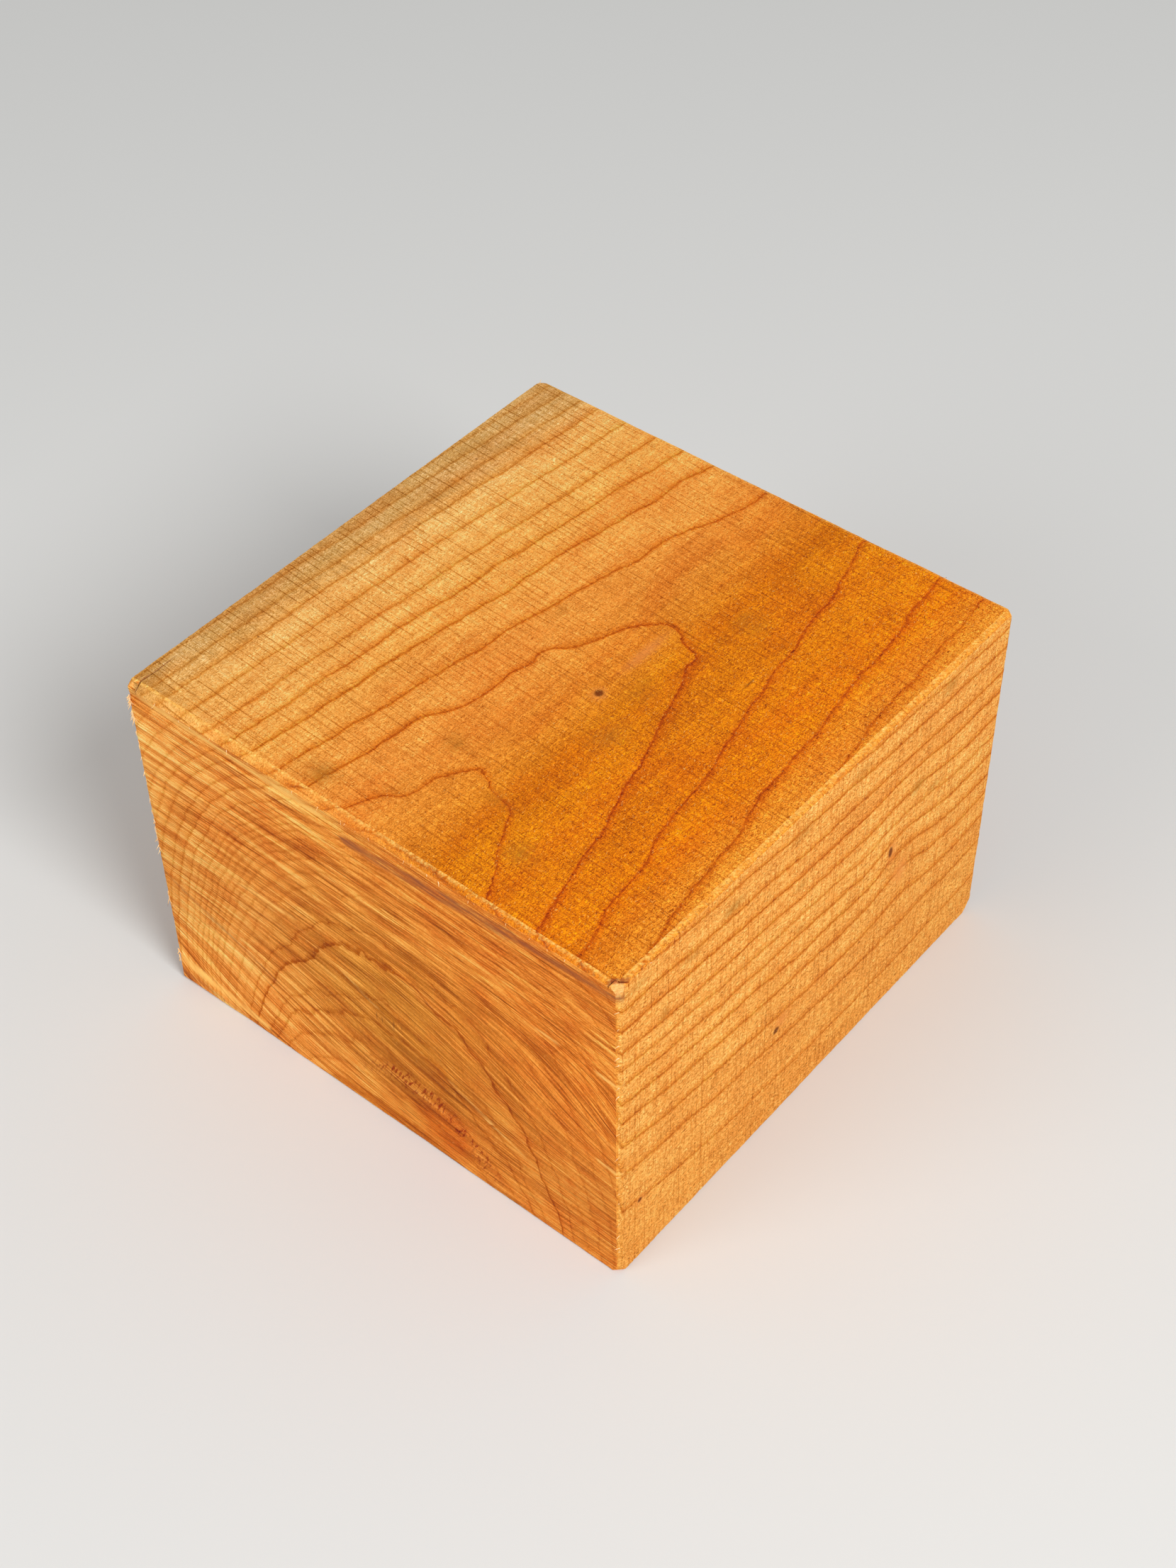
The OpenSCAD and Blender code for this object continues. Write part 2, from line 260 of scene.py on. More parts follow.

# Torn wood along the drag lines of the front end, and painted highlights along the lit edge of the
# blade's step, the foot's ledge and the upward facet below the front bevel, where the wood is partly
# torn too: from, to, half width, and how bright, or how dark where it is scorched.
TEARS_AND_HIGHLIGHTS = (
    ((-75.0, 8.4), (-43.0, 2.6), 1.7, 1.0), ((-75.0, 104.3), (-12.0, 102.6), 1.1, 0.9),
    ((-26.0, 56.0), (-14.0, 50.2), 1.2, 0.3), ((-12.0, 49.4), (-1.0, 43.8), 0.55, 0.65),
    ((1.0, 43.0), (21.0, 34.0), 0.8, 0.25), ((23.0, 33.0), (35.0, 27.3), 0.7, 0.6),
    ((34.0, 27.7), (46.0, 22.4), 0.5, 0.75), ((46.0, 22.4), (58.0, 17.0), 0.8, 0.3),
    ((-75.0, 81.0), (-22.0, 74.6), 0.7, 0.75), ((-75.0, 63.0), (-30.0, 57.0), 0.7, 0.4),
    ((-75.0, 55.5), (-26.0, 57.5), 1.0, 0.45), ((-75.0, 36.0), (-36.0, 22.0), 0.9, 0.5),
    ((50.0, 75.9), (58.0, 75.3), 0.5, 0.9), ((69.0, 73.9), (75.0, 73.3), 0.6, 1.0),
    ((69.0, 41.4), (75.0, 40.8), 0.6, 1.0), ((66.0, 52.0), (75.0, 49.5), 0.5, 0.5),
    ((-24.0, 98.0), (-2.0, 99.4), 0.8, -0.5),
    ((-4.0, 99.2), (44.0, 102.4), 1.9, -1.2), ((44.0, 102.4), (75.0, 103.8), 1.5, -0.9),
    ((-75.0, 3.4), (-40.0, 0.6), 1.4, -0.6), ((-75.0, 41.5), (-36.0, 26.0), 1.0, -0.6),
    ((-75.0, 46.5), (-30.0, 51.0), 0.9, -0.4), ((-75.0, 93.5), (-34.0, 92.0), 0.8, -0.4),
    ((-75.0, 79.0), (-40.0, 76.0), 0.8, -0.5), ((-50.0, 99.5), (0.0, 98.0), 1.0, 0.4),
)

# Settings that many nodes share.
SMOOTH = {"interpolation_type": "SMOOTHSTEP"}
OPEN = {"clamp": False}
OVER = {"data_type": "RGBA"}
WASH = {"data_type": "RGBA", "blend_type": "MULTIPLY"}
TIMES = {"operation": "MULTIPLY"}
PLUS = {"operation": "ADD"}
MINUS = {"operation": "SUBTRACT"}
TIMES_PLUS = {"operation": "MULTIPLY_ADD"}


def linear(hex_colour):
    """Turns an sRGB hex colour into the linear red, green and blue that a shader takes."""
    channels = [int(hex_colour[start:start + 2], 16) / 255 for start in (1, 3, 5)]
    return tuple(c / 12.92 if c <= 0.04045 else ((c + 0.055) / 1.055) ** 2.4 for c in channels)


def rgba(colour):
    """Adds the full opacity that a colour socket wants."""
    return (*colour, 1.0)


def add(tree, kind, *inputs, **settings):
    """Adds a node with its settings, fills or links its live inputs in order, and returns it.

    Where there are more values than inputs, the rest go with it into another node of its kind.
    """
    node = tree.nodes.new("ShaderNode" + kind)
    for name, value in settings.items():
        setattr(node, name, value)
    sockets = [socket for socket in node.inputs if socket.enabled]
    for socket, value in zip(sockets, inputs):
        if isinstance(value, bpy.types.Node):
            value = next(s for s in value.outputs if s.enabled)
        if isinstance(value, bpy.types.NodeSocket):
            tree.links.new(value, socket)
        elif value is not None:
            socket.default_value = value
    rest = inputs[len(sockets):]
    return add(tree, kind, node, *rest, **settings) if rest else node


def deselect_all():
    """Leaves nothing selected, so that an operator acts only on what comes next."""
    bpy.ops.object.select_all(action="DESELECT")


def make_active(piece):
    """Selects one piece alone."""
    deselect_all()
    piece.select_set(True)
    bpy.context.view_layer.objects.active = piece


# ------------------------------------------------------------------------------ shared maths


def power_curve(tree, value, factors):
    """Adds the curve that has these factors, its highest power first."""
    result = factors[0]
    for factor in factors[1:]:
        result = add(tree, "Math", result, value, factor, **TIMES_PLUS)
    return result


def slope_factors(factors):
    """The factors of a curve's slope."""
    highest = len(factors) - 1
    return [factor * (highest - number) for number, factor in enumerate(factors[:-1])]


def spot(tree, point, centre, size, core=0.3):
    """A soft round patch: one in its core, which is a share of its size, and nothing past it."""
    inverse = tuple(1.0 / length for length in size)
    offset = tuple(-c * i for c, i in zip(centre, inverse))
    local = add(tree, "VectorMath", point, inverse, offset, **TIMES_PLUS)
    length = add(tree, "VectorMath", local, operation="LENGTH")
    return add(tree, "MapRange", length, core, 1.0, *FADE, **SMOOTH)


def grains(tree, point, size, detail=2.0, rough=0.5, curl=0.0):
    """Noise whose grains have the given size along the three axes, curled if wanted."""
    scaled = add(tree, "VectorMath", point, tuple(1.0 / s for s in size), **TIMES)
    return add(tree, "TexNoise", scaled, 1.0, detail, rough, 2.0, curl)


def around_one(spread):
    """The ramp that turns a noise into a factor that strays from one by the spread."""
    return NOISE_LOW, NOISE_HIGH, 1.0 - spread, 1.0 + spread


def light_of(tree, *parts):
    """The light of several textures together, each with how far it strays from one."""
    lights = [add(tree, "MapRange", texture, *around_one(spread), **OPEN) for texture, spread in parts]
    return add(tree, "Math", *lights, **TIMES)


def weighed(tree, *parts):
    """Adds values, each times its own weight."""
    return add(tree, "Math", *[add(tree, "Math", *part, **TIMES) for part in parts], **PLUS)


def colour_ramp(tree, value, stops_at):
    """A ramp from (place, sRGB hex colour) pairs."""
    start, end = stops_at[0][0], stops_at[-1][0]
    ramp = add(tree, "ValToRGB", add(tree, "MapRange", value, start, end))
    stops = ramp.color_ramp.elements
    stops.remove(stops[1])
    for number, (at, colour) in enumerate(stops_at):
        stop = stops[0] if number == 0 else stops.new((at - start) / (end - start))
        stop.color = rgba(linear(colour))
    return ramp


# ------------------------------------------------------------------------------ growth rings


def ring_radius(tree, point):
    """How far out in the tree a point lies, the way outwards there, and its bearing."""
    x, y, z = add(tree, "SeparateXYZ", point).outputs
    along = add(tree, "Math", y, HALF_GRAIN_RUN, operation="DIVIDE")
    section = add(tree, "CombineXYZ", x, None, z)
    reach = add(tree, "VectorMath", section, (PITH[0], 0.0, PITH[1]), operation="DISTANCE")
    drift = add(tree, "MapRange", reach, DRIFT_FROM, DRIFT_TO, **SMOOTH)
    centre_x = add(tree, "Mix", drift, PITH[0], power_curve(tree, along, DRIFT_ALONG_X))
    centre_z = add(tree, "Mix", drift, PITH[1], power_curve(tree, along, DRIFT_ALONG_Z))
    oval = add(tree, "Mix", drift, OVAL_AT_PITH, OVAL_OUTSIDE)
    skew = add(tree, "Mix", drift, SKEW_AT_PITH, SKEW_OUTSIDE)
    from_x = add(tree, "Math", x, centre_x, **MINUS)
    from_z = add(tree, "Math", z, centre_z, **MINUS)
    wide = add(tree, "Math", from_x, oval, **TIMES)
    arm = add(tree, "VectorMath", add(tree, "CombineXYZ", wide, None, from_z), operation="LENGTH")
    arm = arm.outputs["Value"]
    lean = add(tree, "Math", from_x, skew, **TIMES)
    radius = add(tree, "Math", arm, lean, **MINUS)
    for centre, size, outwards in SWELLINGS:
        swelling = spot(tree, point, centre, size, 0.0)
        radius = add(tree, "Math", swelling, -outwards, radius, **TIMES_PLUS)

    wide_share = add(tree, "Math", add(tree, "Math", wide, arm, operation="DIVIDE"), oval, **TIMES)
    out_x = add(tree, "Math", wide_share, skew, **MINUS)
    out_z = add(tree, "Math", from_z, arm, operation="DIVIDE")
    slope_x = add(tree, "Math", power_curve(tree, along, slope_factors(DRIFT_ALONG_X)), out_x, **TIMES)
    slope_z = add(tree, "Math", power_curve(tree, along, slope_factors(DRIFT_ALONG_Z)), out_z, **TIMES)
    slope = add(tree, "Math", slope_x, slope_z, **PLUS)
    out_y = add(tree, "Math", slope, drift, -1.0 / HALF_GRAIN_RUN, **TIMES)
    outwards = add(tree, "CombineXYZ", out_x, out_y, out_z)
    return radius, outwards, add(tree, "Math", wide, from_z, operation="ARCTAN2")


def ring_count(tree, radius):
    """Turns the radius into a count of rings, whole on each ring's line."""
    first = RINGS[0][0]
    curve = add(tree, "FloatCurve", 1.0, add(tree, "MapRange", radius, first, RINGS_END))
    line = curve.mapping.curves[0]
    line.points[0].location = (0.0, 0.0)
    line.points[1].location = (1.0, 1.0)
    for number, ring in enumerate(RINGS[1:], 1):
        line.points.new((ring[0] - first) / (RINGS_END - first), number / len(RINGS))
    for knot in line.points:
        knot.handle_type = "VECTOR"
    curve.mapping.update()
    return add(tree, "Math", curve, len(RINGS), **TIMES)


def ring_facts(tree, count):
    """Width, line strength and tone of the ring that a point lies in."""
    middle = add(tree, "Math", add(tree, "Math", count, operation="FLOOR"), 0.5, **PLUS)
    ramp = add(tree, "ValToRGB", add(tree, "Math", middle, len(RINGS), operation="DIVIDE"))
    ramp.color_ramp.interpolation = "CONSTANT"
    stops = ramp.color_ramp.elements
    stops.remove(stops[1])
    edges = [ring[0] for ring in RINGS] + [RINGS_END]
    for number, (start, strength, tone) in enumerate(RINGS):
        stop = stops[0] if number == 0 else stops.new(number / len(RINGS))
        stop.color = rgba(((edges[number + 1] - start) / WIDEST_RING, strength, tone))
    width, strength, tone = add(tree, "SeparateColor", ramp).outputs
    return add(tree, "Math", width, WIDEST_RING, **TIMES), strength, tone


def swayed_radius(tree, point, radius, steep):
    """The radius with the waver of the rings, which grows with the slope of a ring to the face."""
    x = add(tree, "SeparateXYZ", point).outputs["X"]
    sway = add(tree, "Math", add(tree, "MapRange", x, *SWAY_ON_TOP, **SMOOTH),
               add(tree, "MapRange", x, *SWAY_TO_SIDE, **SMOOTH), **TIMES)
    slow = add(tree, "Math", grains(tree, point, *SLOW_SWAY), NOISE_MIDDLE, **MINUS)
    quick = add(tree, "Math", grains(tree, point, *QUICK_SWAY), NOISE_MIDDLE, **MINUS)
    quick = add(tree, "Math", quick, QUICK_SHARE, **TIMES)
    waver = add(tree, "Math", slow, sway, quick, **TIMES_PLUS)
    stretch = add(tree, "Math", steep, SWAY_STRETCH, **TIMES)
    return add(tree, "Math", waver, stretch, radius, **TIMES_PLUS)


def year_lines(tree, point, normal):
    """The crisp line and the soft band of each year, with the tone, radius and bearing there."""
    radius, outwards, bearing = ring_radius(tree, point)
    # a ring that meets the surface at a flat angle would draw a wide line, so the distance to
    # the line is measured along the surface
    crossing = add(tree, "VectorMath", outwards, normal, operation="CROSS_PRODUCT")
    steep = add(tree, "VectorMath", crossing, operation="LENGTH").outputs["Value"]
    steep = add(tree, "Math", steep, FLATTEST_CROSSING, operation="MAXIMUM")
    count = ring_count(tree, swayed_radius(tree, point, radius, steep))
    width, strength, tone = ring_facts(tree, count)
    outside = add(tree, "Math", add(tree, "Math", count, operation="FRACT"), width, **TIMES)
    inside = add(tree, "Math", width, outside, **MINUS)
    outside = add(tree, "Math", outside, steep, operation="DIVIDE")
    inside = add(tree, "Math", inside, steep, operation="DIVIDE")
    line, halo = (
        add(tree, "Math", add(tree, "MapRange", outside, *outwards_ramp, **SMOOTH),
            add(tree, "MapRange", inside, *inwards_ramp, **SMOOTH), operation="MAXIMUM")
        for outwards_ramp, inwards_ramp in ((LINE_OUTSIDE, LINE_INSIDE), (BAND_OUTSIDE, BAND_INSIDE))
    )
    unbroken = add(tree, "MapRange", grains(tree, point, *LINE_BREAKS), *LINE_SHOWN)
    line = add(tree, "Math", line, strength, unbroken, **TIMES)
    halo = add(tree, "Math", halo, strength, **TIMES)
    return line, halo, tone, radius, bearing


# ------------------------------------------------------------------------------ sawn surfaces


def dragged_height(x, z):
    """Height of a point of an end face across the blade's fanned drag lines."""
    off = (z - DRAG_MIDDLE - DRAG_LEAN * x) / DRAG_SPREAD
    return z + x * (DRAG_FLATTEST + DRAG_STEEPEST * math.exp(-off * off))


def dragged_place(tree, point):
    """The same for a shader: the point with its height across the fanned drag lines."""
    x, y, z = add(tree, "SeparateXYZ", point).outputs
    off = add(tree, "Math", x, -DRAG_LEAN, z, **TIMES_PLUS)
    off = add(tree, "MapRange", off, DRAG_MIDDLE, DRAG_MIDDLE + DRAG_SPREAD, **OPEN)
    bulge = add(tree, "Math", add(tree, "Math", off, off, -1.0, **TIMES), operation="EXPONENT")
    bend = add(tree, "Math", bulge, DRAG_STEEPEST, DRAG_FLATTEST, **TIMES_PLUS)
    return add(tree, "CombineXYZ", x, y, add(tree, "Math", x, bend, z, **TIMES_PLUS))


def edge_distance(tree, point):
    """Distance of a point of the surface to the nearest edge of the block."""
    middle = (0.0, 0.0, -TOP / 2)
    half = (RIGHT, (BACK - END_FACE) / 2, TOP / 2)
    centred = add(tree, "VectorMath", point, middle, **PLUS)
    centred = add(tree, "VectorMath", centred, operation="ABSOLUTE")
    room = add(tree, "VectorMath", half, centred, **MINUS)
    a, b, c = add(tree, "SeparateXYZ", room).outputs
    small = add(tree, "Math", a, b, operation="MINIMUM")
    large = add(tree, "Math", a, b, operation="MAXIMUM")
    return add(tree, "Math", small, add(tree, "Math", large, c, operation="MINIMUM"), operation="MAXIMUM")


def tooth_lines(tree, point, y, pitch):
    """Thin dark lines at the saw's pitch, which show in patches."""
    phase = add(tree, "Math", y, 1.0 / pitch, grains(tree, point, *TOOTH_WANDER), **TIMES_PLUS)
    off = add(tree, "Math", add(tree, "Math", phase, operation="FRACT"), 0.5, **MINUS)
    gap = add(tree, "Math", add(tree, "Math", off, pitch, **TIMES), operation="ABSOLUTE")
    shown = add(tree, "MapRange", grains(tree, point, *TOOTH_PATCHES), *TEETH_SHOWN, **SMOOTH)
    return add(tree, "Math", add(tree, "MapRange", gap, *TOOTH_GAP, **SMOOTH), shown, **TIMES)


def long_grain_marks(tree, point, side, pitch):
    """Light and relief of the top, bottom and sides, which the saw cut along."""
    x, y, z = add(tree, "SeparateXYZ", point).outputs
    tilted_y = add(tree, "Math", x, SAW_TILT, y, **TIMES_PLUS)
    tilted = add(tree, "CombineXYZ", x, tilted_y, z)
    fuzz = grains(tree, point, *FUZZ)
    rougher = add(tree, "MapRange", x, *ROUGHER_TO_RIGHT, **SMOOTH)
    rough_fuzz = add(tree, "Math", fuzz, NOISE_MIDDLE, **MINUS)
    rough_fuzz = add(tree, "Math", rough_fuzz, rougher, NOISE_MIDDLE, **TIMES_PLUS)
    streaks = grains(tree, point, *STREAKS)
    lines = grains(tree, tilted, *SAW_LINES)
    scored = add(tree, "MapRange", grains(tree, tilted, *SAW_SCORES), *SCORES_SHOWN, **SMOOTH)
    tooth_shade = add(tree, "MapRange", x, *TOOTH_SHADE, **SMOOTH)
    teeth = add(tree, "Math", tooth_lines(tree, tilted, tilted_y, pitch), tooth_shade, **TIMES)
    scores = add(tree, "Math", scored, add(tree, "Mix", side, *SCORE_SHADES), **TIMES)
    marks = add(tree, "Math", 1.0, add(tree, "Math", teeth, scores, operation="MAXIMUM"), **MINUS)
    light = light_of(tree, (rough_fuzz, FUZZ_LIGHT), (streaks, STREAK_LIGHT), (lines, SAW_LINE_LIGHT))
    relief = weighed(tree, *zip((fuzz, lines, scored), LONG_RELIEF))
    return add(tree, "Math", light, marks, **TIMES), relief


def end_grain_marks(tree, point):
    """Light, relief and torn streaks of the ends, where the blade dragged the fibres over."""
    place = dragged_place(tree, point)
    x = add(tree, "SeparateXYZ", point).outputs["X"]
    force = add(tree, "MapRange", x, *CALMER_TO_RIGHT, **SMOOTH)
    hairs = grains(tree, place, *DRAG_HAIRS)
    bundles = grains(tree, place, *DRAG_BUNDLES)
    fuzz = grains(tree, point, *END_FUZZ)
    drawn = add(tree, "Math", bundles, -NOISE_MIDDLE, **PLUS)
    drawn = add(tree, "Math", add(tree, "Math", drawn, force, **TIMES), NOISE_MIDDLE, **PLUS)
    light = light_of(tree, (hairs, HAIR_LIGHT), (drawn, BUNDLE_LIGHT), (fuzz, END_FUZZ_LIGHT))
    relief = weighed(tree, *zip((hairs, bundles, fuzz), END_RELIEF))
    bright = add(tree, "Math", bundles, TORN_BY_BUNDLES, **TIMES)
    bright = add(tree, "Math", hairs, TORN_BY_HAIRS, bright, **TIMES_PLUS)
    torn = add(tree, "MapRange", bright, *STREAKS_TORN, **SMOOTH)
    return light, relief, add(tree, "Math", torn, force, **TIMES)


def heart_rays(tree, bearing, radius):
    """Fine rays of the wood, which run out from the pith across the end grain."""
    place = add(tree, "CombineXYZ", add(tree, "Math", bearing, RAYS_ROUND, **TIMES),
                add(tree, "Math", radius, RAYS_OUT, **TIMES))
    rays = add(tree, "TexNoise", place, *RAYS)
    return add(tree, "MapRange", rays, *around_one(RAY_LIGHT), **OPEN)


def pith_flecks(tree, point):
    """Short dark flecks of torn wood, in clumps along one ring near the pith, on the front end."""
    x, y, z = add(tree, "SeparateXYZ", point).outputs
    section = add(tree, "CombineXYZ", x, None, z)
    reach = add(tree, "VectorMath", section, FLECK_CENTRE, operation="DISTANCE")
    off_ring = add(tree, "Math", reach, FLECK_REACH, **MINUS)
    off_ring = add(tree, "Math", grains(tree, point, *FLECK_CLUMPS), FLECK_DRIFT, off_ring, **TIMES_PLUS)
    off_ring = add(tree, "Math", off_ring, operation="ABSOLUTE")
    off_middle = add(tree, "Math", x, FLECK_MIDDLE, **MINUS)
    off_middle = add(tree, "Math", off_middle, operation="ABSOLUTE")
    torn = grains(tree, add(tree, "VectorRotate", point, None, *FLECK_TURN), *FLECKS)
    ramps = ((off_ring, FLECK_RING), (torn, FLECKS_SHOWN), (off_middle, FLECK_FAN), (y, FLECK_DEPTH))
    shares = [add(tree, "MapRange", value, *ramp, **SMOOTH) for value, ramp in ramps]
    return add(tree, "Math", *shares, **TIMES)


def near_line(tree, value, at, half_width):
    """One where the value is at the given place, nothing past the half width."""
    gap = add(tree, "Math", add(tree, "Math", value, at, **MINUS), operation="ABSOLUTE")
    return add(tree, "MapRange", gap, 0.0, half_width, *FADE, **SMOOTH)


def spots(tree, point, places, core):
    """The sum of several soft patches, each with its own strength where it has one."""
    patches = [
        add(tree, "Math", spot(tree, point, centre, size, core), *(strength or (1.0,)), **TIMES)
        for centre, size, *strength in places
    ]
    return add(tree, "Math", *patches, **PLUS)


def dimmed_or_lit(tree, colour, light):
    """Dims or lights a colour as wood does: its shade grows redder and deeper as it darkens."""
    shares = [add(tree, "Math", light, power, operation="POWER") for power in LIGHT_POWERS]
    lit = add(tree, "VectorMath", colour, add(tree, "CombineXYZ", *shares), **TIMES)
    return add(tree, "VectorMath", lit, BRIGHTEST, operation="MINIMUM")


# ------------------------------------------------------------------------------ materials


def new_material(name):
    """An empty material with its tree and a point in millimetres."""
    material = bpy.data.materials.new(name)
    material.use_nodes = True
    tree = material.node_tree
    tree.nodes.clear()
    place = add(tree, "TexCoord").outputs["Object"]
    return material, tree, add(tree, "VectorMath", place, (PER_METRE,) * 3, **TIMES)


def finish_material(tree, colour, relief, roughness):
    """Joins colour and relief to a dull wood surface."""
    shader = add(tree, "BsdfPrincipled", colour)
    shader.inputs["Roughness"].default_value = roughness
    shader.inputs["Specular IOR Level"].default_value = FAINT_SHEEN
    bump = add(tree, "Bump")
    bump.inputs["Distance"].default_value = MM
    tree.links.new(relief.outputs[0], bump.inputs["Height"])
    tree.links.new(bump.outputs["Normal"], shader.inputs["Normal"])
    add(tree, "OutputMaterial", shader)


def fresh_wood(tree, point, wood, side, end_grain, mottle, radius):
    """The wood's colour on each kind of face, with a painted sheen and painted light on the sides."""
    x, y, z = add(tree, "SeparateXYZ", point).outputs
    ends = colour_ramp(tree, x, END_COLOURS)
    ends = add(tree, "Mix", spot(tree, point, *END_HEART), ends, rgba(wood.end_heart), **WASH)
    red = add(tree, "MapRange", mottle, *around_one(RED_MOTTLE), **OPEN)
    red = add(tree, "Math", spot(tree, point, *RED_HEART), red, **TIMES)
    ends = add(tree, "Mix", red, ends, rgba(wood.red_heart), **WASH)
    # the sides take a paler ramp: painted sheen and painted light over the wood's colour
    top, lit_sides = colour_ramp(tree, x, TOP_COLOURS), colour_ramp(tree, z, LIT_SIDE_COLOURS)
    colour = add(tree, "Mix", side, top, lit_sides, **OVER)
    sap = add(tree, "Math", mottle, SAP_DRIFT, radius, **TIMES_PLUS)
    sap = add(tree, "MapRange", sap, *SAPWOOD, **SMOOTH)
    colour = add(tree, "Mix", sap, colour, rgba(wood.sapwood), **OVER)
    return add(tree, "Mix", end_grain, colour, ends, **OVER)


def drifts(tree, point, side, end_grain, tone):
    """Factors for the light: the blade's pauses, the clouds, each year's tone and the paler back."""
    y = add(tree, "SeparateXYZ", point).outputs["Y"]
    lines = [near_line(tree, y, at, PAUSE_HALF_WIDTH) for at in SAW_PAUSES]
    patchy = add(tree, "MapRange", grains(tree, point, *PAUSE_PATCHES), *PAUSES_SHOWN, **SMOOTH)
    paused = add(tree, "Math", add(tree, "Math", *lines, **PLUS), side, patchy, **TIMES)
    paused = add(tree, "MapRange", paused, *PAUSE_SHADE, **SMOOTH)
    clouds = add(tree, "MapRange", grains(tree, point, *CLOUDS), *around_one(CLOUD_LIGHT), **OPEN)
    tones = add(tree, "MapRange", tone, *YEAR_TONES, **OPEN)
    paler = add(tree, "MapRange", y, *PALER_BACK)
    off_top = add(tree, "Math", side, end_grain, operation="MAXIMUM")
    return paused, clouds, tones, add(tree, "Mix", off_top, paler, 1.0)


def flawed(tree, point, colour, wood, mottle):
    """Lays the stains, the pin knots with their wood, the gum and the painted shade of small holes over a
    colour.
    """
    stains = add(tree, "MapRange", mottle, *around_one(STAIN_MOTTLE), **OPEN)
    stains = add(tree, "Math", spots(tree, point, STAINS, STAIN_CORE), stains, STAIN_COVER, **TIMES)
    colour = add(tree, "Mix", stains, colour, rgba(wood.stain), **OVER)
    patches = (
        (KNOT_WOOD, KNOT_WOOD_CORE, KNOT_WOOD_COVER, wood.knot_wood),
        (KNOTS, KNOT_CORE, KNOT_COVER, wood.knot),
        (GUM_AND_HOLES, GUM_AND_HOLE_CORE, GUM_AND_HOLE_COVER, wood.gum_and_hole_shade),
    )
    for places, core, cover, over in patches:
        cover = add(tree, "Math", spots(tree, point, places, core), cover, **TIMES)
        colour = add(tree, "Mix", cover, colour, rgba(over), **OVER)
    return colour


def torn_scorched_and_lit(tree, point, colour, wood, end_grain, torn_streaks):
    """Lays lifted hairs, torn lines with painted highlights, scorched lines and end streaks over a colour."""
    hair_place = add(tree, "VectorRotate", point, None, *HAIR_TURN)
    hairs = add(tree, "MapRange", grains(tree, hair_place, *LIFTED_HAIRS), *HAIRS_SHOWN, **SMOOTH)
    hairs = add(tree, "Math", hairs, HAIR_COVER, **TIMES)
    colour = add(tree, "Mix", hairs, colour, rgba(wood.torn_fibre_and_highlight), **OVER)
    torn_and_lit_place = add(tree, "Attribute", attribute_name=TORN_AND_LIT).outputs["Fac"]
    streaky = grains(tree, dragged_place(tree, point), *TEAR_STREAKS)
    streaky = add(tree, "MapRange", streaky, *around_one(TEAR_LIGHT), **OPEN)
    # torn wood and the painted highlights of the front end, both pale
    pale = add(tree, "MapRange", torn_and_lit_place, *TORN_AND_LIT_FROM, **SMOOTH)
    pale = add(tree, "Math", pale, streaky, TORN_AND_LIT_COVER, **TIMES)
    torn_streaks = add(tree, "Math", torn_streaks, end_grain, STREAK_COVER, **TIMES)
    pale = add(tree, "Math", pale, torn_streaks, operation="MAXIMUM")
    colour = add(tree, "Mix", pale, colour, rgba(wood.torn_fibre_and_highlight), **OVER)
    scorched = add(tree, "MapRange", torn_and_lit_place, *SCORCHED_FROM, **SMOOTH)
    scorched = add(tree, "Math", scorched, streaky, SCORCH_COVER, **TIMES)
    return add(tree, "Mix", scorched, colour, rgba(wood.scorch), **OVER)


def worn_at_edges(tree, point, colour, wood, cut_edge):
    """Lays the pale broken wood of the edges with a painted highlight on the bevels' crest, the torn corner
    and the painted shade in the cracks over a colour.
    """
    z = add(tree, "SeparateXYZ", point).outputs["Z"]
    near_edge = add(tree, "Math", grains(tree, point, *EDGE_BREAKS), EDGE_DRIFT,
                    edge_distance(tree, point), **TIMES_PLUS)
    worn = add(tree, "MapRange", near_edge, *EDGE_WORN, **SMOOTH)
    worn = add(tree, "Math", worn, EDGE_COVER, **TIMES)
    tuft_place = add(tree, "VectorRotate", point, None, *TUFT_TURN)
    tufts = add(tree, "MapRange", grains(tree, tuft_place, *EDGE_TUFTS), *TUFTS_SHOWN, **SMOOTH)
    torn_corner = spot(tree, point, *TORN_CORNER)
    # the pale crest is partly broken wood and partly a painted highlight where the edge meets the light
    crest = add(tree, "MapRange", z, *CREST_WEAR_AND_HIGHLIGHT, **SMOOTH)
    crest = add(tree, "Math", crest, torn_corner, operation="MAXIMUM")
    bared = add(tree, "Math", cut_edge, crest, tufts, **TIMES)
    worn = add(tree, "Math", worn, bared, operation="MAXIMUM")
    edge_light = grains(tree, tuft_place, *FINE_TUFTS)
    edge_light = add(tree, "MapRange", edge_light, *around_one(EDGE_LIGHT), **OPEN)
    worn_colour = dimmed_or_lit(tree, tuple(wood.worn_edge), edge_light)
    colour = add(tree, "Mix", worn, colour, worn_colour, **OVER)
    torn_facet = add(tree, "Math", torn_corner, cut_edge, edge_light, TORN_FACET_COVER, **TIMES)
    colour = add(tree, "Mix", torn_facet, colour, rgba(wood.splinter), **OVER)
    # painted shade down the cracks
    return add(tree, "Mix", spots(tree, point, CRACK_SHADES, CRACK_SHADE_CORE), colour, rgba(wood.crack_shade), **OVER)


